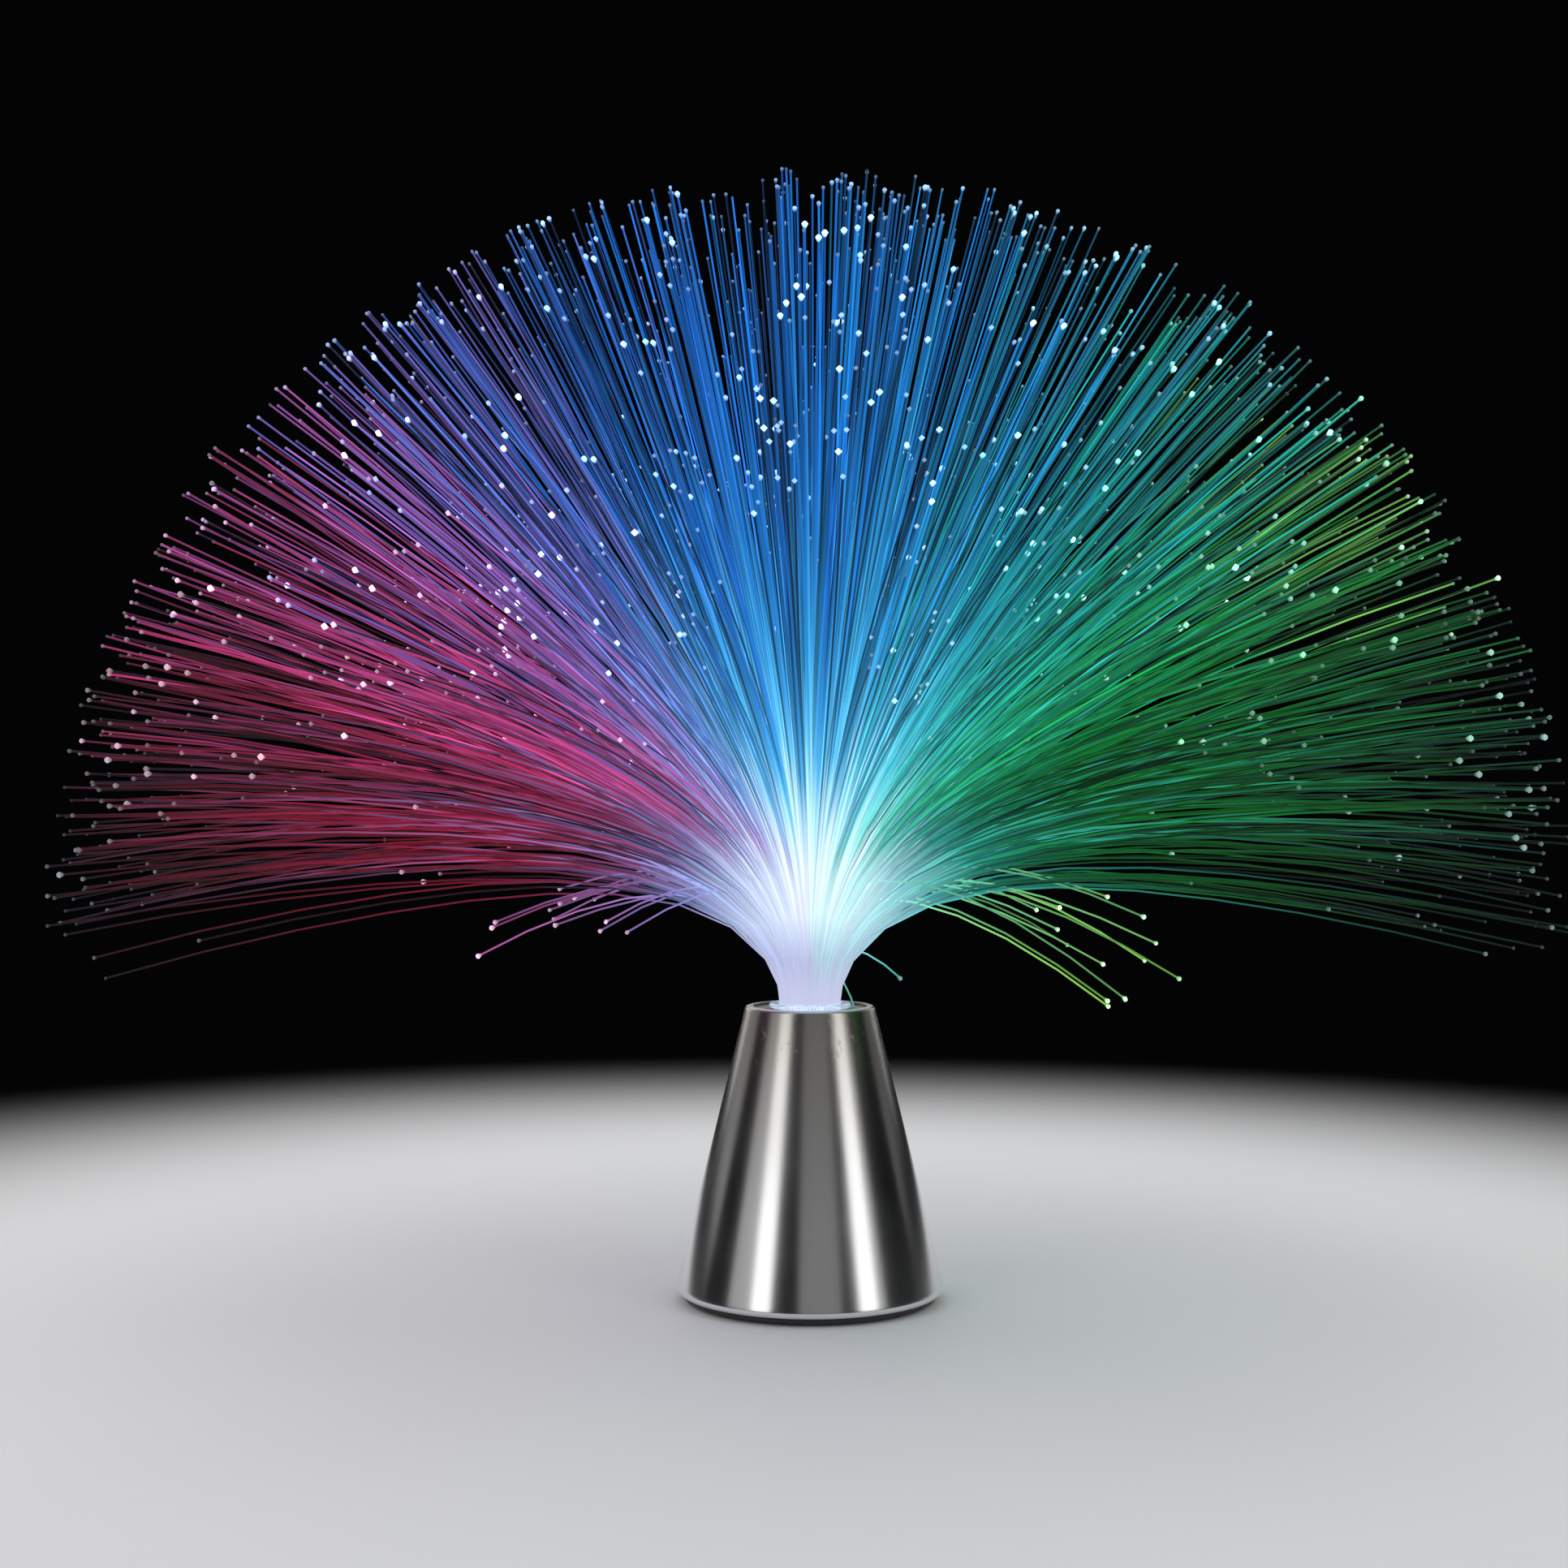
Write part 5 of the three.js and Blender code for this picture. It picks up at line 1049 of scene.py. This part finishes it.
def addCells():
    upright, inverted = cellSleeve("cell sleeve", False), cellSleeve("cell sleeve, inverted", True)
    for i in (1, 2, 3):
        low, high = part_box(f"cell_{i}")
        radius, length = (high.y - low.y) / 2, high.z - low.z
        outline = [(r, low.z + h) for r, h in cellOutline(radius, length)]
        upsideDown = i == 2
        if upsideDown:
            outline = [(r, high.z + low.z - h) for r, h in outline]
        mesh = turned("cell", outline, cell["sides"], middle(f"cell_{i}"))
        place(f"cell_{i}_can", mesh, inverted if upsideDown else upright, "base", [f"cell_{i}"])


addCells()


def circuitBoard():
    # green solder mask over raised tracks, and fine glass weave under it
    material, tree, shader = newMaterial("circuit board")
    point = objectPoint(tree)
    tracks = node(tree, "TexVoronoi", {"Vector": point, "Scale": 260, "Randomness": 0.35},
                  feature="DISTANCE_TO_EDGE").outputs["Distance"]
    line = spread(tree, tracks, start=0.06, end=0.09, low=1.0, high=0.0)
    weave = noise(tree, point, scale=1500, detail=2)
    mask = blendColours(tree, weave, (0.010, 0.085, 0.035), (0.016, 0.11, 0.045))
    feedAll(tree, shader, {
        "Base Color": blendColours(tree, line, mask, (0.03, 0.20, 0.07)),
        "Roughness": between(tree, weave, 0.22, 0.34),
        "Normal": bump(tree, line, distance=0.035 * mm, strength=0.6),
    })
    return material


led = {
    "flange": 1 * mm, "radius": 2.5 * mm, "ease": 0.15 * mm, "sides": 64, "domeSteps": 16,
    "colours": {"red": (0.9, 0.03, 0.04), "blue": (0.03, 0.12, 0.9), "green": (0.04, 0.75, 0.12)},
}


def ledLens(name, colour):
    # tinted clear resin, lit from inside, brightest low down where the chip sits
    material, tree, shader = newMaterial(name)
    low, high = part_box("led_blue")
    point = objectPoint(tree)
    lit = spread(tree, coordinate(tree, point, "Z"), low.z, high.z, low=1.0, high=0.45)
    cloud = maths(tree, "MULTIPLY", lit, between(tree, noise(tree, point, scale=300), 0.85, 1.1))
    feedAll(tree, shader, {
        "Base Color": blendColours(tree, cloud, dimmed(colour, 0.5), colour),
        "Transmission Weight": 0.5, "Roughness": 0.08,
        "Emission Color": blendColours(tree, cloud, (0, 0, 0), colour), "Emission Strength": 1.5,
    })
    return material


def addLeds():
    radius, ease = led["radius"], led["ease"]
    for colour, value in led["colours"].items():
        nodeName = f"led_{colour}"
        low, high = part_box(nodeName)
        flangeRadius, flangeTop = (high.y - low.y) / 2, low.z + led["flange"]
        outline = [(0, low.z), (flangeRadius, low.z), (flangeRadius, flangeTop - ease),
                   (flangeRadius - ease, flangeTop), (radius, flangeTop),
                   *arc(0, high.z - radius, radius, 0, math.pi / 2, led["domeSteps"])[:-1], (0, high.z)]
        mesh = turned("led", outline, led["sides"], middle(nodeName))
        lens = ledLens(f"{colour} lens", value)
        place(f"led{colour.capitalize()}", mesh, lens, "base", [nodeName])


placeCopy("led_board", circuitBoard(), "base", 0.08 * mm, axis + postSpots)
addLeds()

# each ring has its place along the body in mm and its colour
resistor = {
    "body": (0.52, 0.40, 0.23), "ringEdge": (0.36 * mm, 0.32 * mm), "wireFrom": (3.0 * mm, 3.05 * mm),
    "rings": ((-2.2, (0.35, 0.03, 0.02)), (-0.9, (0.03, 0.03, 0.03)),
              (0.1, (0.16, 0.06, 0.02)), (2.2, (0.6, 0.42, 0.1))),
}


def resistorPaint(name, azimuth, x, y):
    # a beige body with four colour rings across it, along the line that the resistor lies on
    material, tree, shader = newMaterial(name)
    point = node(tree, "TexCoord").outputs["Object"]
    centred = node(tree, "VectorMath", {0: point, 1: (x, y, 0)}, operation="SUBTRACT").outputs[0]
    inLine = node(tree, "Mapping", {"Vector": centred, "Rotation": (0, 0, -azimuth)}).outputs[0]
    along = coordinate(tree, inLine, "Y")
    shade = resistor["body"]
    for offset, colour in resistor["rings"]:
        away = maths(tree, "ABSOLUTE", maths(tree, "SUBTRACT", along, offset * mm))
        shade = blendColours(tree, spread(tree, away, *resistor["ringEdge"]), shade, colour)
    wire = spread(tree, maths(tree, "ABSOLUTE", along), *resistor["wireFrom"])
    feedAll(tree, shader, {
        "Base Color": blendColours(tree, wire, shade, (0.7, 0.7, 0.7)),
        "Metallic": wire,
        "Roughness": between(tree, noise(tree, point, scale=400), 0.25, 0.4),
    })
    return material


chip = {"legFrom": (1.97 * mm, 2.0 * mm)}


def chipBlack():
    # a moulded package; what lies further out to either side than its body is a bright leg
    material, tree, shader = newMaterial("chip package")
    point = objectPoint(tree)
    across = maths(tree, "SUBTRACT", coordinate(tree, point, "X"), middle("controller_chip")[0])
    leg = spread(tree, maths(tree, "ABSOLUTE", across), *chip["legFrom"])
    grain = noise(tree, point, scale=3000, detail=2)
    body = blendColours(tree, grain, (0.008, 0.008, 0.009), (0.016, 0.016, 0.018))
    feedAll(tree, shader, {
        "Base Color": blendColours(tree, leg, body, (0.7, 0.7, 0.7)),
        "Metallic": leg,
        "Roughness": between(tree, grain, 0.3, 0.5),
    })
    return material


def leadJacket(name, colour):
    # soft PVC round a wire, with faint smears
    material, tree, shader = newMaterial(name)
    smear = noise(tree, objectPoint(tree), scale=350, detail=4)
    patches = spread(tree, smear, start=0.35, end=0.75)
    feedAll(tree, shader, {
        "Base Color": blendColours(tree, patches, colour, dimmed(colour, 0.7)),
        "Roughness": between(tree, smear, 0.35, 0.55),
    })
    return material


for i in (1, 2, 3):
    x, y = middle(f"resistor_{i}")
    finish(f"resistor_{i}", resistorPaint(f"resistor paint {i}", math.atan2(y, x), x, y))
placeCopy("controller_chip", chipBlack(), "base", 0.06 * mm)
springSteel = drawnMetal("nickel-plated spring steel", (0.68, 0.68, 0.66), (0.5, 0.5, 0.49), 0.2)
for nodeName in ("door_bridge_contact", "door_return_contact", "cap_bridge_contact", "cap_positive_contact"):
    finish(nodeName, springSteel)
finish("return_rod", drawnMetal("brass", (0.72, 0.50, 0.20), (0.5, 0.34, 0.14), 0.25))
finish("lead_switch", leadJacket("white lead", (0.62, 0.62, 0.60)))
finish("lead_return", leadJacket("black lead", (0.015, 0.015, 0.016)))
finish("lead_positive", leadJacket("red lead", (0.42, 0.02, 0.015)))
print("inner pieces finished")

bpy.context.scene.view_settings.view_transform = "Standard"
